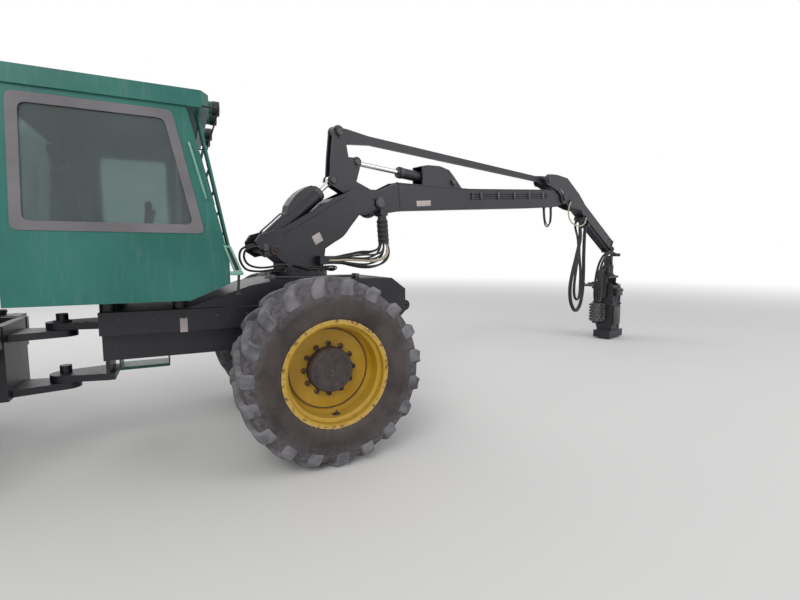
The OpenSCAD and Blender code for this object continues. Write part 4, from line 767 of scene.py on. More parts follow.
# Cab: window outlines as (forward or left, height), and the lean of its front and rear face
cab = {
    "sidePane": [(-0.96, 1.99), (-1.155, 2.9), (-2.14, 2.9), (-2.17, 1.99)],
    "door": [(-1.114, 1.494), (-1.114, 2.896), (-1.926, 2.896), (-1.926, 1.494)],
    "doorPane": [(-1.19, 1.79), (-1.19, 2.82), (-1.85, 2.82), (-1.85, 1.79)],
    "frontPane": box(-0.73, 0.73, 2.02, 2.9), "frontLean": 0.2371, "backLean": 0.0619,
    "bracket": [(-0.808, 1.884), (-0.748, 1.876), (-0.664, 1.668), (-0.724, 1.648)],
    "lampsAt": (-0.6, -0.3, 0.3, 0.6), "roofEdge": box(-2.27, -0.8, -0.812, 0.812), "roofEdgeZ": 2.972,
}


# Points (left, outwards, height) on the leaning front face
def onFront(p):
    y, out, z = parts(p)
    a = math.atan(cab["frontLean"])
    x = -0.81 - (z - 1.99) * cab["frontLean"]
    return fromLayout(xyz(x + out * math.cos(a), y, z + out * math.sin(a)))


# Points (left, outwards, height) on the rear face
def onBack(p):
    y, out, z = parts(p)
    return fromLayout(xyz(-2.27 + (z - 1.99) * cab["backLean"] - out, y, z))


# Each row: name, outline, from and to across it, frame, body, how far it goes outside and inside the outline
sealRows = [
    ("seal_side_window", "sidePane", -0.806, -0.788, fromLayout, "front_chassis", 0.016, 0.052),
    ("seal_windscreen", "frontPane", -0.01, 0.006, onFront, "front_chassis", 0.012, 0.034),
    ("seal_rear_window", "frontPane", -0.01, 0.006, onBack, "front_chassis", 0.01, 0.03),
    ("seal_door_window", "doorPane", 0.788, 0.806, fromLayout, "door", 0.014, 0.03),
    ("seal_door", "door", 0.7995, 0.803, fromLayout, "front_chassis", 0.008, -0.0015),
]
for name, outline, y0, y1, move, body, grow, shrink in sealRows:
    outer, inner = inset(cab[outline], -grow), inset(cab[outline], shrink)
    makePiece(name, ringSlab(rounded(outer, 0.05), rounded(inner, 0.05), y0, y1, move), sealGrey, body, 30)

outline = cab["bracket"]
makePiece("guard_bracket", [
    ringSlab(rounded(outline, 0.012), rounded(inset(outline, 0.016), 0.008), -0.815, -0.786, fromLayout),
    block((-0.762, -0.818, 1.63), (-0.655, -0.78, 1.664), 0.008, fromLayout),
], paleGreen, "front_chassis", 30)
makePiece("guard_bracket_lamp", [
    slab(rounded(inset(outline, 0.014), 0.008), -0.806, -0.79, fromLayout),
    rod(fromLayout, (-0.69, -0.796, 1.64), (-0.7, -0.796, 1.47), 0.011),
    block((-0.722, -0.812, 1.455), (-0.678, -0.78, 1.48), 0.008, fromLayout),
], darkPlastic, "front_chassis", 30)
rail = [
    (-1.03, 0.798, 2.67), (-1.03, 0.82, 2.67), (-1.022, 0.842, 2.64), (-0.933, 0.842, 2.29),
    (-0.925, 0.82, 2.26), (-0.925, 0.798, 2.26),
]
rails = [tube(onSide(side)(smoothPath(rail, 30)), 0.0085) for side in (-1, 1)]
makePiece("grab_rails", rails, paleGreen, "front_chassis")

# Roof: lamps with bezels and lenses, a hatch and a rain rail; wipers and the door's handle and bar
bezel = [
    (0.052, -0.05), (0.0585, -0.046), (0.0595, 0.006), (0.056, 0.01), (0.05, 0.009), (0.0495, 0.001),
    (0.049, -0.002),
]
lens = [(0.0495, 0.0), (0.049, 0.004), (0.036, 0.008), (0.018, 0.0095), (0.002, 0.01)]
for name, profile, material in (("lamp_bezels", bezel, darkPlastic), ("lamp_lenses", lens, lampGlass)):
    lamps = [turned(profile, fromLayout, (-0.79, y, 3.025), (1, 0, 0), 36) for y in cab["lampsAt"]]
    makePiece(name, lamps, material, "front_chassis")
makePiece("roof_hatch", blocks(fromLayout, [
    ((-1.98, -0.33, 3.08), (-1.33, 0.33, 3.122), 0.018, 4),
    ((-1.7, -0.05, 3.118), (-1.61, 0.05, 3.136), 0.008),
]), greenPaint, "front_chassis", 30)
edge = [(x, y, cab["roofEdgeZ"]) for x, y in [*rounded(cab["roofEdge"], 0.03), (-2.2565, -0.812)]]
makePiece("roof_rail", tube(fromLayout(edge), 0.008, 8), darkPlastic, "front_chassis")
# Each wiper: how far left its foot and its blade stand, its top, and the face it lies on
wipers = []
wiperRows = [(0.1, 0.42, 2.56, onFront), (-0.45, -0.62, 2.56, onFront), (0.0, 0.25, 2.5, onBack)]
z0 = 2.045
for y0, y1, z1, plane in wiperRows:
    half = 0.5 * (y0 + y1), 0.024, 0.5 * (z0 + z1)
    arm = smoothPath([(y0, 0.004, z0), (y0, 0.02, z0 + 0.01), half, (y1, 0.02, z1 - 0.12)], 20)
    wipers.append(tube(plane(arm), 0.0055, 8))
    wipers += blocks(plane, [
        ((y1 - 0.006, 0.007, z1 - 0.34), (y1 + 0.006, 0.022, z1 + 0.1), 0.003),
        ((y0 - 0.022, 0.0, z0 - 0.022), (y0 + 0.022, 0.022, z0 + 0.022), 0.006),
    ])
makePiece("wipers", wipers, darkPlastic, "front_chassis", 30)
doorBar = [(0.8, 1.95), (0.828, 1.955), (0.831, 2.02), (0.831, 2.52), (0.828, 2.585), (0.8, 2.59)]
makePiece("door_handle", blocks(fromLayout, [
    ((-1.225, 0.798, 1.64), (-1.15, 0.812, 1.73), 0.006),
    ((-1.218, 0.812, 1.676), (-1.14, 0.828, 1.698), 0.007),
]) + [tube(fromLayout(smoothPath([(-1.16, y, z) for y, z in doorBar], 26)), 0.008)], darkPlastic, "door", 30)


def power(v, e):
    return np.sign(v) * np.abs(v) ** e


# A stuffed pad: a superellipsoid whose exponents keep it nearly square, with two grooves along it,
# crowned by a product of two cosines, and leaned about its middle
def pad(size, lean, at, square=0.28, plan=0.3, rows=23, cols=64):
    lat = np.linspace(-0.499 * math.pi, 0.499 * math.pi, rows)[:, None]
    lon = (np.arange(cols) * 2 * math.pi / cols)[None, :]
    x = size[0] / 2 * power(np.cos(lat), square) * power(np.cos(lon), plan)
    y = size[1] / 2 * power(np.cos(lat), square) * power(np.sin(lon), plan)
    z = size[2] / 2 * power(np.sin(lat), square)
    groove = np.exp(-((np.abs(y) - 0.3 * size[1]) / 0.01) ** 2) * (np.abs(x) < 0.46 * size[0])
    crown = np.cos(math.pi * x / size[0]) * np.cos(math.pi * y / size[1])
    z = z - np.sign(z) * 0.01 * (groove - crown)
    a = math.radians(lean)
    turnedX, turnedZ = x * math.cos(a) + z * math.sin(a), z * math.cos(a) - x * math.sin(a)
    return fromLayout(xyz(at[0] + turnedX, at[1] + y, at[2] + turnedZ)), cappedFaces(rows, cols)


# Each row: name, size, lean in degrees, middle, fill
seatRows = [
    ("seat_cushion", (0.5, 0.52, 0.13), 0.0, (-1.64, 0.0, 1.865), 0.75),
    ("seat_back", (0.62, 0.5, 0.12), 78.0, (-1.945, 0.0, 2.215), 0.7),
    ("seat_headrest", (0.18, 0.28, 0.09), 78.0, (-2.03, 0.0, 2.625), 0.8),
]
for name, size, lean, at, fill in seatRows:
    piece = makePiece(name, pad(size, lean, at), seatCloth, "front_chassis", 50)
    if name == "seat_cushion":
        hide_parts("operator_seat")
posts = [rod(fromLayout, (-1.999, y, 2.5), (-2.026, y, 2.6), 0.008) for y in (-0.07, 0.07)]
makePiece("seat_base", blocks(fromLayout, [
    ((-1.87, -0.21, 1.472), (-1.43, 0.21, 1.52), 0.012), ((-1.8, -0.15, 1.515), (-1.5, 0.15, 1.76), 0.03),
    ((-1.89, -0.235, 1.755), (-1.4, 0.235, 1.801), 0.015),
]) + posts, darkPlastic, "front_chassis", 30)
# Arm rests with joysticks and keys, and a screen on its arm
grip = [
    (0.012, -0.02), (0.016, 0.0), (0.024, 0.02), (0.031, 0.05), (0.029, 0.074), (0.018, 0.088),
    (0.004, 0.092),
]
inside = []
for side in (-1, 1):
    inside.append(block((-1.76, side * 0.305, 2.03), (-1.44, side * 0.425, 2.062), 0.014, fromLayout))
    inside.append(turned(grip, fromLayout, (-1.36, side * 0.365, 2.165), (0.12, 0, 1), 20))
    for x in -1.425 + 0.024 * np.arange(4):
        inside.append(block((x, side * 0.335, 2.03), (x + 0.015, side * 0.35, 2.044), 0.003, fromLayout))
inside.append(block((-1.06, -0.7, 2.07), (-1.03, -0.47, 2.26), 0.012, fromLayout))
inside.append(rod(fromLayout, (-1.04, -0.585, 2.08), (-0.94, -0.7, 1.96), 0.01))
makePiece("cab_controls", inside, darkPlastic, "front_chassis", 30)
print("cab dressed")

# Front frame: bolts along the sides and round the column, a blank plate, deck hoses in fittings, and welds
deck = {
    "sideBolts": np.arange(-1.6, -0.1, 0.25), "ringBolts": 24, "ringR": 0.331,
    "hoseY": (-0.452, -0.42, -0.388), "route": [
        (-0.3227, 0.0, 1.586), (-0.29, 0.0, 1.586), (-0.2, -0.004, 1.584), (-0.05, 0.006, 1.58),
        (0.12, -0.003, 1.58), (0.3, 0.005, 1.583), (0.445, 0.0, 1.586), (0.4777, 0.0, 1.586)],
}
shapes = []
for side in (-1, 1):
    places = [(x, side * 0.5, 1.265) for x in deck["sideBolts"]]
    shapes += bolts(fromLayout, places, (0, side, 0), 0.0125, 0.013)
ring = [(deck["ringR"] * c, deck["ringR"] * s, 1.56) for c, s in spokes(deck["ringBolts"])]
shapes += bolts(fromLayout, ring, (0, 0, 1), 0.0125, 0.013)
makePiece("frame_bolts", shapes, darkSteel, "front_chassis", 30)
plate = block((-1.155, -0.5035, 1.13), (-1.095, -0.4985, 1.252), 0.002, fromLayout)
makePiece("frame_plate_blank", plate, blankPlate, "front_chassis", 30)
for y in deck["hoseY"]:
    path = fromLayout(smoothPath([(x, y + aside, z) for x, aside, z in deck["route"]], 36))
    freeHose("deck_hose_%d" % round(-y * 1000), path, 0.011, hoseRubber, "front_chassis")
makePiece("deck_fittings", blocks(fromLayout, [
    ((x - 0.022, -0.478, 1.559), (x + 0.022, -0.362, 1.612), 0.005) for x in (-0.345, 0.5)
]), darkSteel, "front_chassis", 30)
welds = []
for side in (-1, 1):
    welds.append(bead(fromLayout, [(-1.72, side * 0.5012, 1.332), (-0.02, side * 0.5012, 1.332)], 0.0045))
    arc = [(0.35 * math.cos(a), 0.35 * math.sin(a), 1.502) for a in np.linspace(side * 0.2, side * 2.9, 9)]
    welds.append(bead(fromLayout, arc, 0.006))
makePiece("frame_welds", welds, blackPaint, "front_chassis")
print("frame dressed")


# Crane. A pin's head with a step, a bevel and a centre hole, held by three bolts
def pinHead(move, along, height, out, radius, side):
    profile = [
        (radius * 1.16, -0.001), (radius * 1.16, 0.006), (radius * 1.08, 0.008), (radius, 0.008),
        (radius, 0.014), (radius * 0.86, 0.02), (radius * 0.25, 0.02), (radius * 0.2, 0.017),
        (0.002, 0.017),
    ]
    away = 1.5 * radius
    start = 0.75 / math.pi  # as a part of a step, so that the first bolt stands at 0.5 radians
    ring = [(along + away * c, side * out, height + away * s) for c, s in spokes(3, start)]
    head = turned(profile, move, (along, side * out, height), (0, side, 0))
    return [head] + bolts(move, ring, (0, side, 0), 0.011, 0.012)


# Each body's pins: frame, along, height, distance from the middle plane, radius
pinRows = {
    "tower": [(fromCrane, *place["elbow"], 0.145, 0.06), (fromCrane, *place["liftFoot"], 0.14, 0.036)],
    "rocker_arm": [
        (fromCrane, *place["liftEye"], 0.057, 0.034), (fromCrane, *place["reachEye"], 0.057, 0.034),
        (fromCrane, *place["barNear"], 0.065, 0.036)],
    "main_boom": [(fromBoom, *place["reachFoot"], 0.105, 0.032)],
    "outer_stick": [(fromStick, 0.0, 0.0, 0.132, 0.056), (fromCrane, *place["barFar"], 0.126, 0.036)],
    "hanger": [(fromCrane, 7.5525, 1.9266, 0.081, 0.034)],
}
for body, rows in pinRows.items():
    heads = []
    for row in rows:
        heads += pinHead(*row, -1) + pinHead(*row, 1)
    makePiece("pins_" + body, heads, darkSteel, body, 32)

# Cylinders: a gland with its bolts, and a hard pipe on the upper (1) or the lower (-1) side of the barrel
cylinders = [("lift_cylinder", fromLift, 0.085, 1), ("reach_cylinder", fromReach, 0.066, -1)]
face = 0.92
for body, move, radius, side in cylinders:
    gland = turned([
        (radius + 0.0045, -0.05), (radius + 0.0055, -0.046), (radius + 0.0055, -0.004),
        (radius + 0.001, 0.002), (0.052, 0.003), (0.05, 0.014), (0.034, 0.016),
    ], move, (face, 0.0, 0.0), (1, 0, 0), 40)
    ring = [(face + 0.0015, (radius - 0.012) * c, (radius - 0.012) * s) for c, s in spokes(8, 0.5)]
    makePiece("gland_" + body, [gland] + bolts(move, ring, (1, 0, 0), 0.0095, 0.01), darkSteel, body, 32)
    route = [
        (0.12, -0.01), (0.12, 0.018), (0.15, 0.022), (0.28, 0.02), (0.4, 0.02), (0.425, 0.012),
        (0.425, -0.01),
    ]
    path = smoothPath([(along, 0.0, side * (radius + away)) for along, away in route], 40)
    makePiece("pipe_" + body, tube(move(path), 0.0085), darkSteel, body)

# Tower: welds along the plates, the old pin boss, a blank plate, bolts round its foot, hose ends
tower = {
    "plateY": 0.1305, "fold": [(-0.215, 2.02), (0.12, 2.195), (0.36, 2.345), (0.56, 2.455)],
    "edge": [(-0.215, 1.64), (0.228, 1.64), (0.262, 1.87), (0.505, 2.012), (0.722, 2.255), (0.93, 2.296)],
    "boss": [
        (0.052, -0.001), (0.052, 0.012), (0.047, 0.016), (0.03, 0.016), (0.027, 0.01), (0.016, 0.01),
        (0.014, 0.02), (0.002, 0.021)],
    "bossAt": (-0.314, 1.845), "plateAt": (0.173, 1.975), "plateTurn": 29, "footBolts": 20, "footR": 0.292,
    "sleeve": [(1.03, -0.174, 2.262), (1.03, -0.176, 2.18), (1.038, -0.178, 2.06), (1.05, -0.178, 1.93)],
    # hose ends: place, direction and the collar's radius
    "hoseEnds": [
        ((1.03, -0.174, 2.262), (0, 0, -1), 0.043), ((0.26, -0.175, 1.745), (1, 0, 0), 0.043),
        ((-0.5, -0.152, 1.88), (-1, 0, 0), 0.02), ((-0.5, -0.108, 1.895), (-1, 0, 0), 0.02),
        ((-0.205, -0.152, 1.7), (-1, 0, 0), 0.02), ((-0.205, -0.108, 1.66), (-1, 0, 0), 0.02)],
}
welds, bosses = [], []
for side in (-1, 1):
    for line, radius in ((tower["fold"], 0.005), (tower["edge"], 0.0045)):
        welds.append(bead(fromCrane, [(s, side * tower["plateY"], z) for s, z in line], radius))
    s, z = tower["bossAt"]
    bosses.append(turned(tower["boss"], fromCrane, (s, side * tower["plateY"], z), (0, side, 0)))
makePiece("tower_welds", welds, blackPaint, "tower")
makePiece("tower_bosses", bosses, hubRust, "tower", 32)
onPlate = armFrame(tower["plateAt"], tower["plateTurn"])
plate = block((-0.055, -0.1325, -0.05), (0.055, -0.1295, 0.05), 0.001, onPlate)
makePiece("tower_plate_blank", plate, blankPlate, "tower", 30)
ring = [(tower["footR"] * c, tower["footR"] * s, 1.63) for c, s in spokes(tower["footBolts"])]
makePiece("tower_ring_bolts", bolts(fromCrane, ring, (0, 0, 1), 0.0125, 0.014), darkSteel, "tower", 30)
n = np.arange(44)
folds = 1 + 0.48 * np.clip(n / 9, 0, 1) + 0.05 * np.sin(0.9 * n) + 0.03 * np.sin(2.3 * n)
sleeve = sweep(fromCrane(smoothPath(tower["sleeve"], len(n))), circle(0.044, 24), folds)
makePiece("elbow_sleeve", sleeve, hoseRubber, "tower")
# A ribbed guard round the pale hose where it bends
n = np.arange(96)
path = smoothPath(strands[elbowFan["pale"]][elbowFan["guarded"]], len(n))
guard = sweep(path, circle(0.0165, 16), 1 + 0.16 * np.sin(n * math.pi / 4))
makePiece("elbow_guard", guard, paleHose, "tower")
ends = []
for p, out, r in tower["hoseEnds"]:
    ends.append(turned([(r, -0.002), (r, 0.008), (r * 0.94, 0.012)], fromCrane, p, out, 24))
makePiece("tower_hose_ends", ends, darkSteel, "tower")

# Boom: clamps on its three pipes a side, connectors at their ends, welds, a blank plate, the cover's bolts
boom = {
    "weldY": 0.0958, "pipeY": 0.103, "pipesZ": (0.09, 0.056, 0.022), "boltY": 0.095,
    "pipesFrom": 1.75, "pipesTo": 3.782, "pipesFall": 0.024 / 2.03, "clampsAt": np.arange(1.95, 3.75, 0.42),
    "welds": [
        ([(0.34, 0.236), (1.72, 0.152), (3.84, 0.124), (4.29, 0.11)], 0.004),
        ([(0.34, -0.09), (1.7, -0.118), (3.25, -0.152), (4.07, -0.162)], 0.004),
        ([(0.352, 0.23), (0.352, -0.086)], 0.005)],
    "connector": [(0.0155, -0.022), (0.0155, 0.004), (0.012, 0.006), (0.012, 0.016)],
    "coverBolts": [(0.84, 0.43), (1.0, 0.435), (1.16, 0.43), (1.29, 0.385)],
}
clamps, welds = [], []
for side in (-1, 1):
    for along in boom["clampsAt"]:
        top = boom["pipesZ"][0] - boom["pipesFall"] * (along - boom["pipesFrom"])
        low, high = (along - 0.022, side * 0.0945, top - 0.086), (along + 0.022, side * 0.119, top + 0.018)
        clamps.append(block(low, high, 0.005, fromBoom))
    for line, radius in boom["welds"]:
        welds.append(bead(fromBoom, [(s, side * boom["weldY"], h) for s, h in line], radius))
    for h in boom["pipesZ"]:
        for along, out in ((boom["pipesFrom"], -1), (boom["pipesTo"], 1)):
            fall = boom["pipesFall"] * (along - boom["pipesFrom"])
            end = along, side * boom["pipeY"], h - fall
            clamps.append(turned(boom["connector"], fromBoom, end, (out, 0, fall), 6))
makePiece("boom_clamps", clamps, darkSteel, "main_boom", 30)
makePiece("boom_welds", welds, blackPaint, "main_boom")
plate = block((0.64, -0.0975, -0.055), (0.9, -0.0945, 0.015), 0.001, fromBoom)
makePiece("boom_plate_blank", plate, blankPlate, "main_boom", 30)
sides = ("right", -1), ("left", 1)
for name, side in sides:
    places = [(along, side * boom["boltY"], h) for along, h in boom["coverBolts"]]
    shapes = bolts(fromBoom, places, (0, side, 0), 0.011, 0.01)
    makePiece("cover_bolts_" + name, shapes, darkSteel, "main_boom", 30)

# Stick: welds, bolts of its wear pads, a pale strip beside the knee, collars under the hose carriers
stick = {
    "welds": [
        ([(0.7, 0.097, 0.285), (0.7, 0.097, 0.145)], 0.005),
        ([(0.72, 0.096, 0.313), (2.228, 0.096, 0.313)], 0.0035),
        ([(0.72, 0.096, 0.117), (2.228, 0.096, 0.117)], 0.0035)],
    "padBolts": [(2.08, 0.165), (2.08, 0.265), (2.18, 0.165), (2.18, 0.265)],
    "boltY": 0.095, "carriersAt": (0.9, 1.13), "carriersY": (-0.05, 0.05),
    "collar": [(0.0385, -0.004), (0.0385, 0.01), (0.036, 0.014)],
}
welds = []
for side in (-1, 1):
    for line, radius in stick["welds"]:
        welds.append(bead(fromStick, [(s, side * y, h) for s, y, h in line], radius))
makePiece("stick_welds", welds, blackPaint, "outer_stick")
for name, side in sides:
    places = [(along, side * stick["boltY"], h) for along, h in stick["padBolts"]]
    shapes = bolts(fromStick, places, (0, side, 0), 0.014, 0.014)
    makePiece("pad_bolts_" + name, shapes, darkSteel, "outer_stick", 30)
strip = block((-0.19, -0.1305, 0.02), (0.08, -0.1265, 0.036), 0.001, fromStick)
makePiece("knee_strip", strip, blankPlate, "outer_stick", 30)
collars = []
for along in stick["carriersAt"]:
    for y in stick["carriersY"]:
        collars.append(turned(stick["collar"], fromStick, (along, y, 0.0394), (0, 0, -1), 24))
makePiece("carrier_collars", collars, darkSteel, "extension")
# A pale hose loops under the stick beside the knee, between two clips
kneeLoop = [
    (0.205, -0.146, 0.034), (0.198, -0.146, -0.03), (0.2, -0.146, -0.13), (0.262, -0.146, -0.235),
    (0.39, -0.146, -0.282), (0.56, -0.146, -0.262), (0.73, -0.144, -0.185), (0.85, -0.138, -0.09),
    (0.91, -0.128, 0.015), (0.93, -0.112, 0.085), (0.93, -0.109, 0.135),
]
freeHose("knee_loop", fromStick(smoothPath(kneeLoop, 60)), 0.0125, paleHose, "outer_stick")
makePiece("knee_clips", blocks(fromStick, [
    ((0.182, -0.1625, 0.022), (0.228, -0.1325, 0.05), 0.004),
    ((0.907, -0.1245, 0.12), (0.953, -0.0955, 0.15), 0.004),
]), darkSteel, "outer_stick", 30)
# Two dark hoses hang in a narrow loop under the boom before the knee, between the plates of the folding stick
kneeDrop = [
    (3.74, -0.161), (3.74, -0.23), (3.744, -0.31), (3.757, -0.385), (3.785, -0.44), (3.828, -0.47),
    (3.88, -0.47), (3.923, -0.44), (3.951, -0.385), (3.964, -0.31), (3.968, -0.23), (3.968, -0.162),
]
fitting = [(0.017, -0.008), (0.017, 0.016), (0.0145, 0.018), (0.0145, 0.04), (0.0115, 0.042)]
ends = []
for k, y in enumerate((-0.068, -0.034)):
    drop = [(along + 0.022 * k, y, h - 0.03 * k * (h < -0.4)) for along, h in kneeDrop]
    freeHose("knee_drop_%d" % (k + 1), fromBoom(smoothPath(drop, 56)), 0.011, hoseRubber, "main_boom")
    ends += [turned(fitting, fromBoom, end, (0, 0, -1), 6) for end in (drop[0], drop[-1])]
makePiece("knee_drop_ends", ends, darkSteel, "main_boom", 30)
print("crane dressed")

# Head: roller motors, saw motor, a valve block with its hoses, bolts and welds; all in its own points
head = {
    "rollerMotor": [
        (0.072, 0.0), (0.072, 0.014), (0.056, 0.018), (0.056, 0.062), (0.05, 0.07), (0.022, 0.071),
        (0.02, 0.078), (0.002, 0.078)],
    "sawMotor": [(0.066, 0.0), (0.066, 0.012), (0.05, 0.016), (0.05, 0.09), (0.042, 0.1), (0.002, 0.101)],
    "valvePlug": [(0.021, -0.001), (0.021, 0.01), (0.016, 0.012), (0.016, 0.026), (0.003, 0.028)],
    "valvePort": [(0.0135, -0.001), (0.0135, 0.01), (0.0105, 0.011), (0.0105, 0.018)],
    "rollerMotorAt": (0.09, 0.28, 0.8055), "motorBoltR": 0.063, "sawMotorAt": (-0.11, -0.25, 0.18),
    "edge": [(-0.205, 0.23), (-0.205, 1.09), (-0.148, 1.168), (0.07, 1.235)], "edgeY": 0.1905,
    "motorHose": [
        (-0.222, 0.078, 0.912), (-0.222, 0.078, 0.87), (-0.226, 0.098, 0.8), (-0.228, 0.135, 0.745),
        (-0.226, 0.205, 0.735), (-0.19, 0.262, 0.75), (-0.11, 0.279, 0.795), (-0.04, 0.28, 0.826),
        (0.034, 0.28, 0.829)],
}
motors, boltPlaces, welds = [], [], []
for side in (-1, 1):
    x, y, z = head["rollerMotorAt"]
    motors.append(turned(head["rollerMotor"], fromHead, (x, side * y, z), (0, 0, 1)))
    r = head["motorBoltR"]
    boltPlaces += [(x + r * c, side * y + r * s, z + 0.013) for c, s in spokes(4, 0.5)]
    boltPlaces += [(-0.18 + 0.055 * k, side * (0.3 if k % 2 else 0.235), 0.18) for k in range(5)]
    y = side * head["edgeY"]
    welds.append(bead(fromHead, [(x, y, z) for x, z in head["edge"]], 0.0045))
    welds.append(bead(fromHead, [(0.02, y, 0.366), (0.02, y, 0.766)], 0.004))
motors.append(turned(head["sawMotor"], fromHead, head["sawMotorAt"], (0, 0, 1)))
motors.append(block((-0.245, -0.15, 0.3), (-0.199, 0.15, 0.7), 0.01, fromHead))
makePiece("head_motors", motors, darkSteel, "harvester_head", 32)
makePiece("head_bolts", bolts(fromHead, boltPlaces, (0, 0, 1), 0.011, 0.012), darkSteel, "harvester_head", 30)
makePiece("head_welds", welds, blackPaint, "harvester_head")
valves = [block((-0.288, -0.11, 0.93), (-0.199, 0.11, 1.09), 0.006, fromHead)]
for y in np.linspace(-0.078, 0.078, 4):
    valves.append(turned(head["valvePlug"], fromHead, (-0.288, y, 1.045), (-1, 0, 0), 20))
    valves.append(turned(head["valvePort"], fromHead, (-0.222, y, 0.93), (0, 0, -1), 6))
makePiece("head_valves", valves, darkSteel, "harvester_head", 30)
for name, side in sides:
    path = fromHead(smoothPath([(x, side * y, z) for x, y, z in head["motorHose"]], 48))
    freeHose("motor_hose_" + name, path, 0.008, hoseRubber, "harvester_head")
# The rotator's rings and fittings, and the bolts of the hose clamp above it
rotator = {
    "ring": [(0.1055, 0.0), (0.1075, 0.006), (0.1055, 0.012)], "ringsAt": (1.44, 1.56), "faceX": 7.4025,
    "fitting": [(0.012, -0.002), (0.012, 0.012), (0.009, 0.014), (0.009, 0.02)],
    "fittingsAt": [(-0.06, 1.446), (0.06, 1.52)],
    "clampX": (7.522, 7.55), "clampY": (-0.18, -0.228, -0.115), "clampTop": 1.8296,
}
shapes = []
for z in rotator["ringsAt"]:
    shapes.append(turned(rotator["ring"], fromCrane, (7.5525, 0.0, z), (0, 0, 1), 48))
for y, z in rotator["fittingsAt"]:
    shapes.append(turned(rotator["fitting"], fromCrane, (rotator["faceX"], y, z), (-1, 0, 0), 6))
makePiece("rotator_rings", shapes, darkSteel, "rotator_case", 32)
places = [(s, y, rotator["clampTop"]) for s in rotator["clampX"] for y in rotator["clampY"]]
makePiece("clamp_bolts", bolts(fromCrane, places, (0, 0, 1), 0.009, 0.01), darkSteel, "hanger", 30)
print("head dressed")

# Hood: louvres over dark openings, seams round its side panels, latches
hood = {
    "skinY": 0.5595, "vents": [(-4.82, -4.26), (-3.9, -3.2)], "louvres": 12, "ventZ": (1.48, 0.04),
    "louvre": [(0.0, 0.0), (0.0, 0.026), (0.016, -0.002), (0.016, -0.006)],  # as (outwards, up)
    "panels": [(-4.94, -4.08), (-4.06, -2.96)], "screenTop": (-4.57, 2.25),
    "screenSlope": math.atan2(0.19, 0.7), "slats": 19, "slatStep": 0.0305, "latchIn": 0.16,
    "pipeAt": (-3.33, 0.33, 2.25),
    # the exhaust's foot and its three clips, each as a profile and the steps it is turned in
    "pipe": [
        ([(0.11, 0.0), (0.11, 0.008), (0.092, 0.012), (0.078, 0.022), (0.0765, 0.03)], 40),
        ([(0.0765, 0.11), (0.079, 0.112), (0.079, 0.136), (0.0765, 0.138)], 40),
        ([(0.0765, 0.29), (0.079, 0.292), (0.079, 0.316), (0.0765, 0.318)], 40),
        ([(0.042, 0.43), (0.045, 0.432), (0.045, 0.456), (0.042, 0.458)], 32)],
}
louvres, latches, seams = [], [], []
for side in (-1, 1):
    move = onSide(side)
    for x0, x1 in hood["vents"]:
        for z in hood["ventZ"][0] + hood["ventZ"][1] * np.arange(hood["louvres"]):
            profile = np.array([(hood["skinY"] + out, z + up) for out, up in hood["louvre"]])
            rings = np.vstack([np.insert(profile, 0, x, axis=1) for x in (x0, x1)])
            louvres.append((move(rings), cappedFaces(2, len(profile))))
        seams.append(slab(box(x0 - 0.01, x1 + 0.01, 1.455, 1.965), 0.5585, 0.5607, move))
    for x0, x1 in hood["panels"]:
        panel = rounded(box(x0, x1, 1.33, 2.08), 0.04)
        seams.append(ringSlab(panel, inset(panel, 0.006), 0.559, 0.5606, move))
        for x in (x0 + hood["latchIn"], x1 - hood["latchIn"]):
            latches += blocks(move, [
                ((x - 0.03, 0.559, 1.385), (x + 0.03, 0.572, 1.425), 0.005),
                ((x - 0.01, 0.571, 1.395), (x + 0.024, 0.578, 1.415), 0.003),
            ])
makePiece("hood_louvres", louvres, greenPaint, "hood_cover", 25)
makePiece("hood_latches", latches, darkSteel, "hood_cover", 30)
makePiece("hood_seams", seams, darkPlastic, "hood_cover", 30)


# The hood's sloping tail is closed by a framed air screen: points (down the slope, left, out of it)
def onScreen(p):
    x, y, z = parts(p)
    c, s = math.cos(hood["screenSlope"]), math.sin(hood["screenSlope"])
    return fromLayout(xyz(hood["screenTop"][0] - x * c - z * s, y, hood["screenTop"][1] - x * s + z * c))


# The same for upright outlines, which this lays on the screen
def flat(p):
    return onScreen(np.asarray(p)[..., [0, 2, 1]])


edge = [(0.004, -0.529), (0.69, -0.529), (0.69, 0.529), (0.004, 0.529)]
bar = block((0.04, -0.014, -0.029), (0.65, 0.014, -0.01), 0.003, onScreen)
border = ringSlab(edge, inset(edge, 0.05), -0.03, -0.008, flat)
makePiece("screen_frame", [border, bar], greenPaint, "hood_cover", 30)
slatsAt = 0.064 + hood["slatStep"] * np.arange(hood["slats"])
slats = [((x, -0.486, -0.026), (x + 0.016, 0.486, -0.015), 0.003) for x in slatsAt]
makePiece("screen_slats", blocks(onScreen, slats), darkSteel, "hood_cover", 30)
makePiece("screen_back", slab(inset(edge, 0.03), -0.036, -0.031, flat), darkPlastic, "hood_cover", 30)
clips = []
for profile, steps in hood["pipe"]:
    clips.append(turned(profile, fromLayout, hood["pipeAt"], (0, 0, 1), steps))
makePiece("exhaust_fittings", clips, darkSteel, "hood_cover")

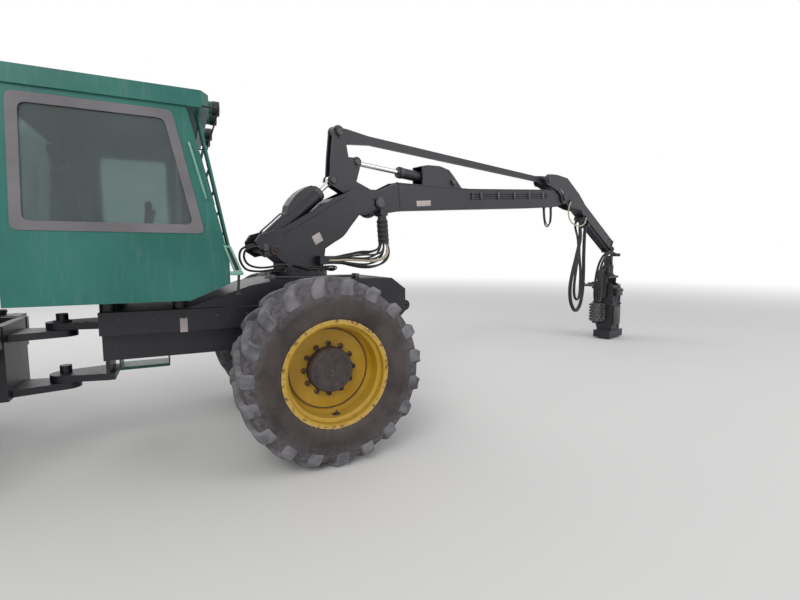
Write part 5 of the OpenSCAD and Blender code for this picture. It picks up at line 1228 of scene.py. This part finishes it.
# Rear: tank straps and caps, lamps with their rims
rear = {
    "strapsAt": (-2.75, -2.56), "strap": box(0.398, 0.642, 0.938, 1.247),
    "cap": [(0.052, -0.001), (0.052, 0.018), (0.058, 0.022), (0.058, 0.044), (0.052, 0.05), (0.002, 0.052)],
    "lampRim": [(0.058, -0.001), (0.06, 0.004), (0.058, 0.014), (0.052, 0.014), (0.051, 0.006)],
    "lamp": [(0.0515, 0.002), (0.05, 0.01), (0.034, 0.017), (0.002, 0.02)],
}
straps = []
strap = rounded(rear["strap"], 0.01)
for side in (-1, 1):
    for x in rear["strapsAt"]:
        turnIn = lambda p, move=onSide(side): move(p[..., [1, 0, 2]])
        straps.append(ringSlab(strap, inset(strap, 0.004), x - 0.02, x + 0.02, turnIn))
makePiece("tank_straps", straps, darkSteel, "rear_chassis", 30)
# Each row: name, profile, place on the left, direction, material
for name, profile, (x, y, z), out, material in (
    ("tank_caps", "cap", (-2.655, 0.54, 1.245), (0, 0, 1), darkPlastic),
    ("rear_lamp_rims", "lampRim", (-5.31, 0.43, 1.13), (-1, 0, 0), darkPlastic),
    ("rear_lamps", "lamp", (-5.31, 0.43, 1.13), (-1, 0, 0), redLamp),
):
    shapes = [turned(rear[profile], fromLayout, (x, side * y, z), out) for side in (-1, 1)]
    makePiece(name, shapes, material, "rear_chassis")

# Engine: covers and inlet runners for each cylinder, a manifold, a blower, pulleys, pipes and filters
engine = {
    "cylinders": 6, "firstX": -4.52, "pitch": 0.17, "pulleyX": -4.6, "filtersAt": (-4.25, -4.08),
    "runner": [(-0.35, 1.8), (-0.39, 1.81), (-0.392, 1.9), (-0.3, 1.996), (-0.18, 2.03)],
    "blower": [
        (0.08, -0.06), (0.105, -0.045), (0.112, 0.0), (0.105, 0.045), (0.08, 0.06), (0.05, 0.075),
        (0.045, 0.11)],
    "filter": [(0.047, 0.0), (0.052, 0.006), (0.052, 0.15), (0.04, 0.165), (0.002, 0.166)],
    # each as (left, height, radius)
    "pulleys": [(0.0, 1.45, 0.11), (-0.18, 1.72, 0.06), (0.2, 1.66, 0.07), (0.0, 1.86, 0.08)],
}
covers, pipes = [], []
for x in engine["firstX"] + engine["pitch"] * np.arange(engine["cylinders"]):
    covers += blocks(fromLayout, [
        ((x, -0.17, 1.995), (x + 0.15, 0.02, 2.062), 0.016),
        ((x + 0.03, 0.345, 1.76), (x + 0.12, 0.42, 1.85), 0.018),
    ])
    pipes.append(tube(fromLayout(smoothPath([(x + 0.075, y, z) for y, z in engine["runner"]], 24)), 0.007, 8))
covers.append(rod(fromLayout, (-4.54, 0.4, 1.805), (-3.52, 0.4, 1.805), 0.042, 20))
covers.append(turned(engine["blower"], fromLayout, (-4.02, 0.45, 1.93), (1, 0, 0), 36))
for x in engine["filtersAt"]:
    pipes.append(turned(engine["filter"], fromLayout, (x, -0.4, 1.48), (0, 0, -1)))
for y, z, r in engine["pulleys"]:
    groove = [(r, 0.0), (r, 0.01), (r * 0.9, 0.016), (r * 0.9, 0.034), (r, 0.04), (r, 0.05)]
    groove += [(r * 0.3, 0.052), (0.002, 0.052)]
    covers.append(turned(groove, fromLayout, (engine["pulleyX"], y, z), (-1, 0, 0), 36))
makePiece("engine_covers", covers, engineIron, "rear_chassis", 32)
makePiece("engine_pipes", pipes, darkSteel, "rear_chassis", 32)
cap = [(0.07, -0.001), (0.07, 0.01), (0.03, 0.012), (0.026, 0.02), (0.002, 0.021)]
caps = [turned(cap, fromLayout, (-2.08, 0.0, z), (0, 0, out)) for z, out in ((1.2205, 1), (0.6995, -1))]
makePiece("hitch_caps", caps, darkSteel, "front_chassis")
print("rear dressed")

# Stage and light: a pale floor and a white background; each lamp has a place, an energy and a size
stage = {
    "floor": "#e9e7e3", "half": 60, "skyColour": (0.93, 0.95, 1.0, 1), "sky": 0.58, "fadeFrom": 9.0,
    "fadeTo": 34.0, "aimZ": 1.2,
    "lamps": {"key": ((-9, -12, 11), 920, 8), "fill": ((10, -9, 7), 300, 8), "back": ((-4, 11, 9), 300, 8)},
}
floor = bpy.data.meshes.new("floor")
far = stage["half"]
floor.from_pydata([(-far, -far, 0), (far, -far, 0), (far, far, 0), (-far, far, 0)], [], [(0, 1, 2, 3)])
floorPiece = bpy.data.objects.new("floor", floor)
bpy.context.scene.collection.objects.link(floorPiece)
floorLook = finish("floor", "floor", stage["floor"], rough=0.9, dust=0.0, dustAll=0.0, rust=0.0, bump=0.0)
floorPiece.data.materials.append(floorLook)


# Is 1 for the rays that may see the plain white background
def backgroundRays(tree):
    rays = addNode(tree, "LightPath", {})
    seen = rays["Is Camera Ray"]
    for ray in ("Is Glossy Ray", "Is Transmission Ray"):
        seen = addNode(tree, "Math", {0: seen, 1: rays[ray]}, operation="MAXIMUM")[0]
    return seen


# Far from the object the floor turns into the white background; near it, it keeps the shadow
tree = floorLook.node_tree
away = addNode(tree, "VectorMath", {0: addNode(tree, "TexCoord", {})["Object"]}, operation="LENGTH")["Value"]
fade = addNode(
    tree, "MapRange", {"Value": away, "From Min": stage["fadeFrom"], "From Max": stage["fadeTo"]},
    interpolation_type="SMOOTHSTEP")["Result"]
both = addNode(tree, "Math", {0: fade, 1: backgroundRays(tree)}, operation="MULTIPLY")[0]
lit, glow = tree.nodes["Principled BSDF"].outputs[0], addNode(tree, "Emission", {})[0]
ground = addNode(tree, "MixShader", {0: both, 1: lit, 2: glow})[0]
tree.links.new(ground, tree.nodes["Material Output"].inputs["Surface"])
world = bpy.data.worlds.new("studio")
bpy.context.scene.world = world
world.use_nodes = True
tree = world.node_tree
background = tree.nodes["Background"]
background.inputs["Color"].default_value = stage["skyColour"]
background.inputs["Strength"].default_value = stage["sky"]
white = addNode(tree, "Background", {"Color": (1, 1, 1, 1), "Strength": 1.0})[0]
sky = addNode(tree, "MixShader", {0: backgroundRays(tree), 1: background.outputs[0], 2: white})[0]
tree.links.new(sky, tree.nodes["World Output"].inputs["Surface"])
for name, (at, energy, size) in stage["lamps"].items():
    lamp = bpy.data.lights.new(name, "AREA")
    lamp.energy = energy
    lamp.size = size
    thing = bpy.data.objects.new(name, lamp)
    bpy.context.scene.collection.objects.link(thing)
    thing.location = at
    d = np.array([0, 0, stage["aimZ"]]) - np.array(at)
    thing.rotation_euler = (math.acos(-d[2] / np.linalg.norm(d)), 0, math.atan2(d[1], d[0]) - math.pi / 2)
bpy.context.scene.view_settings.view_transform = "Standard"
print("stage ready")
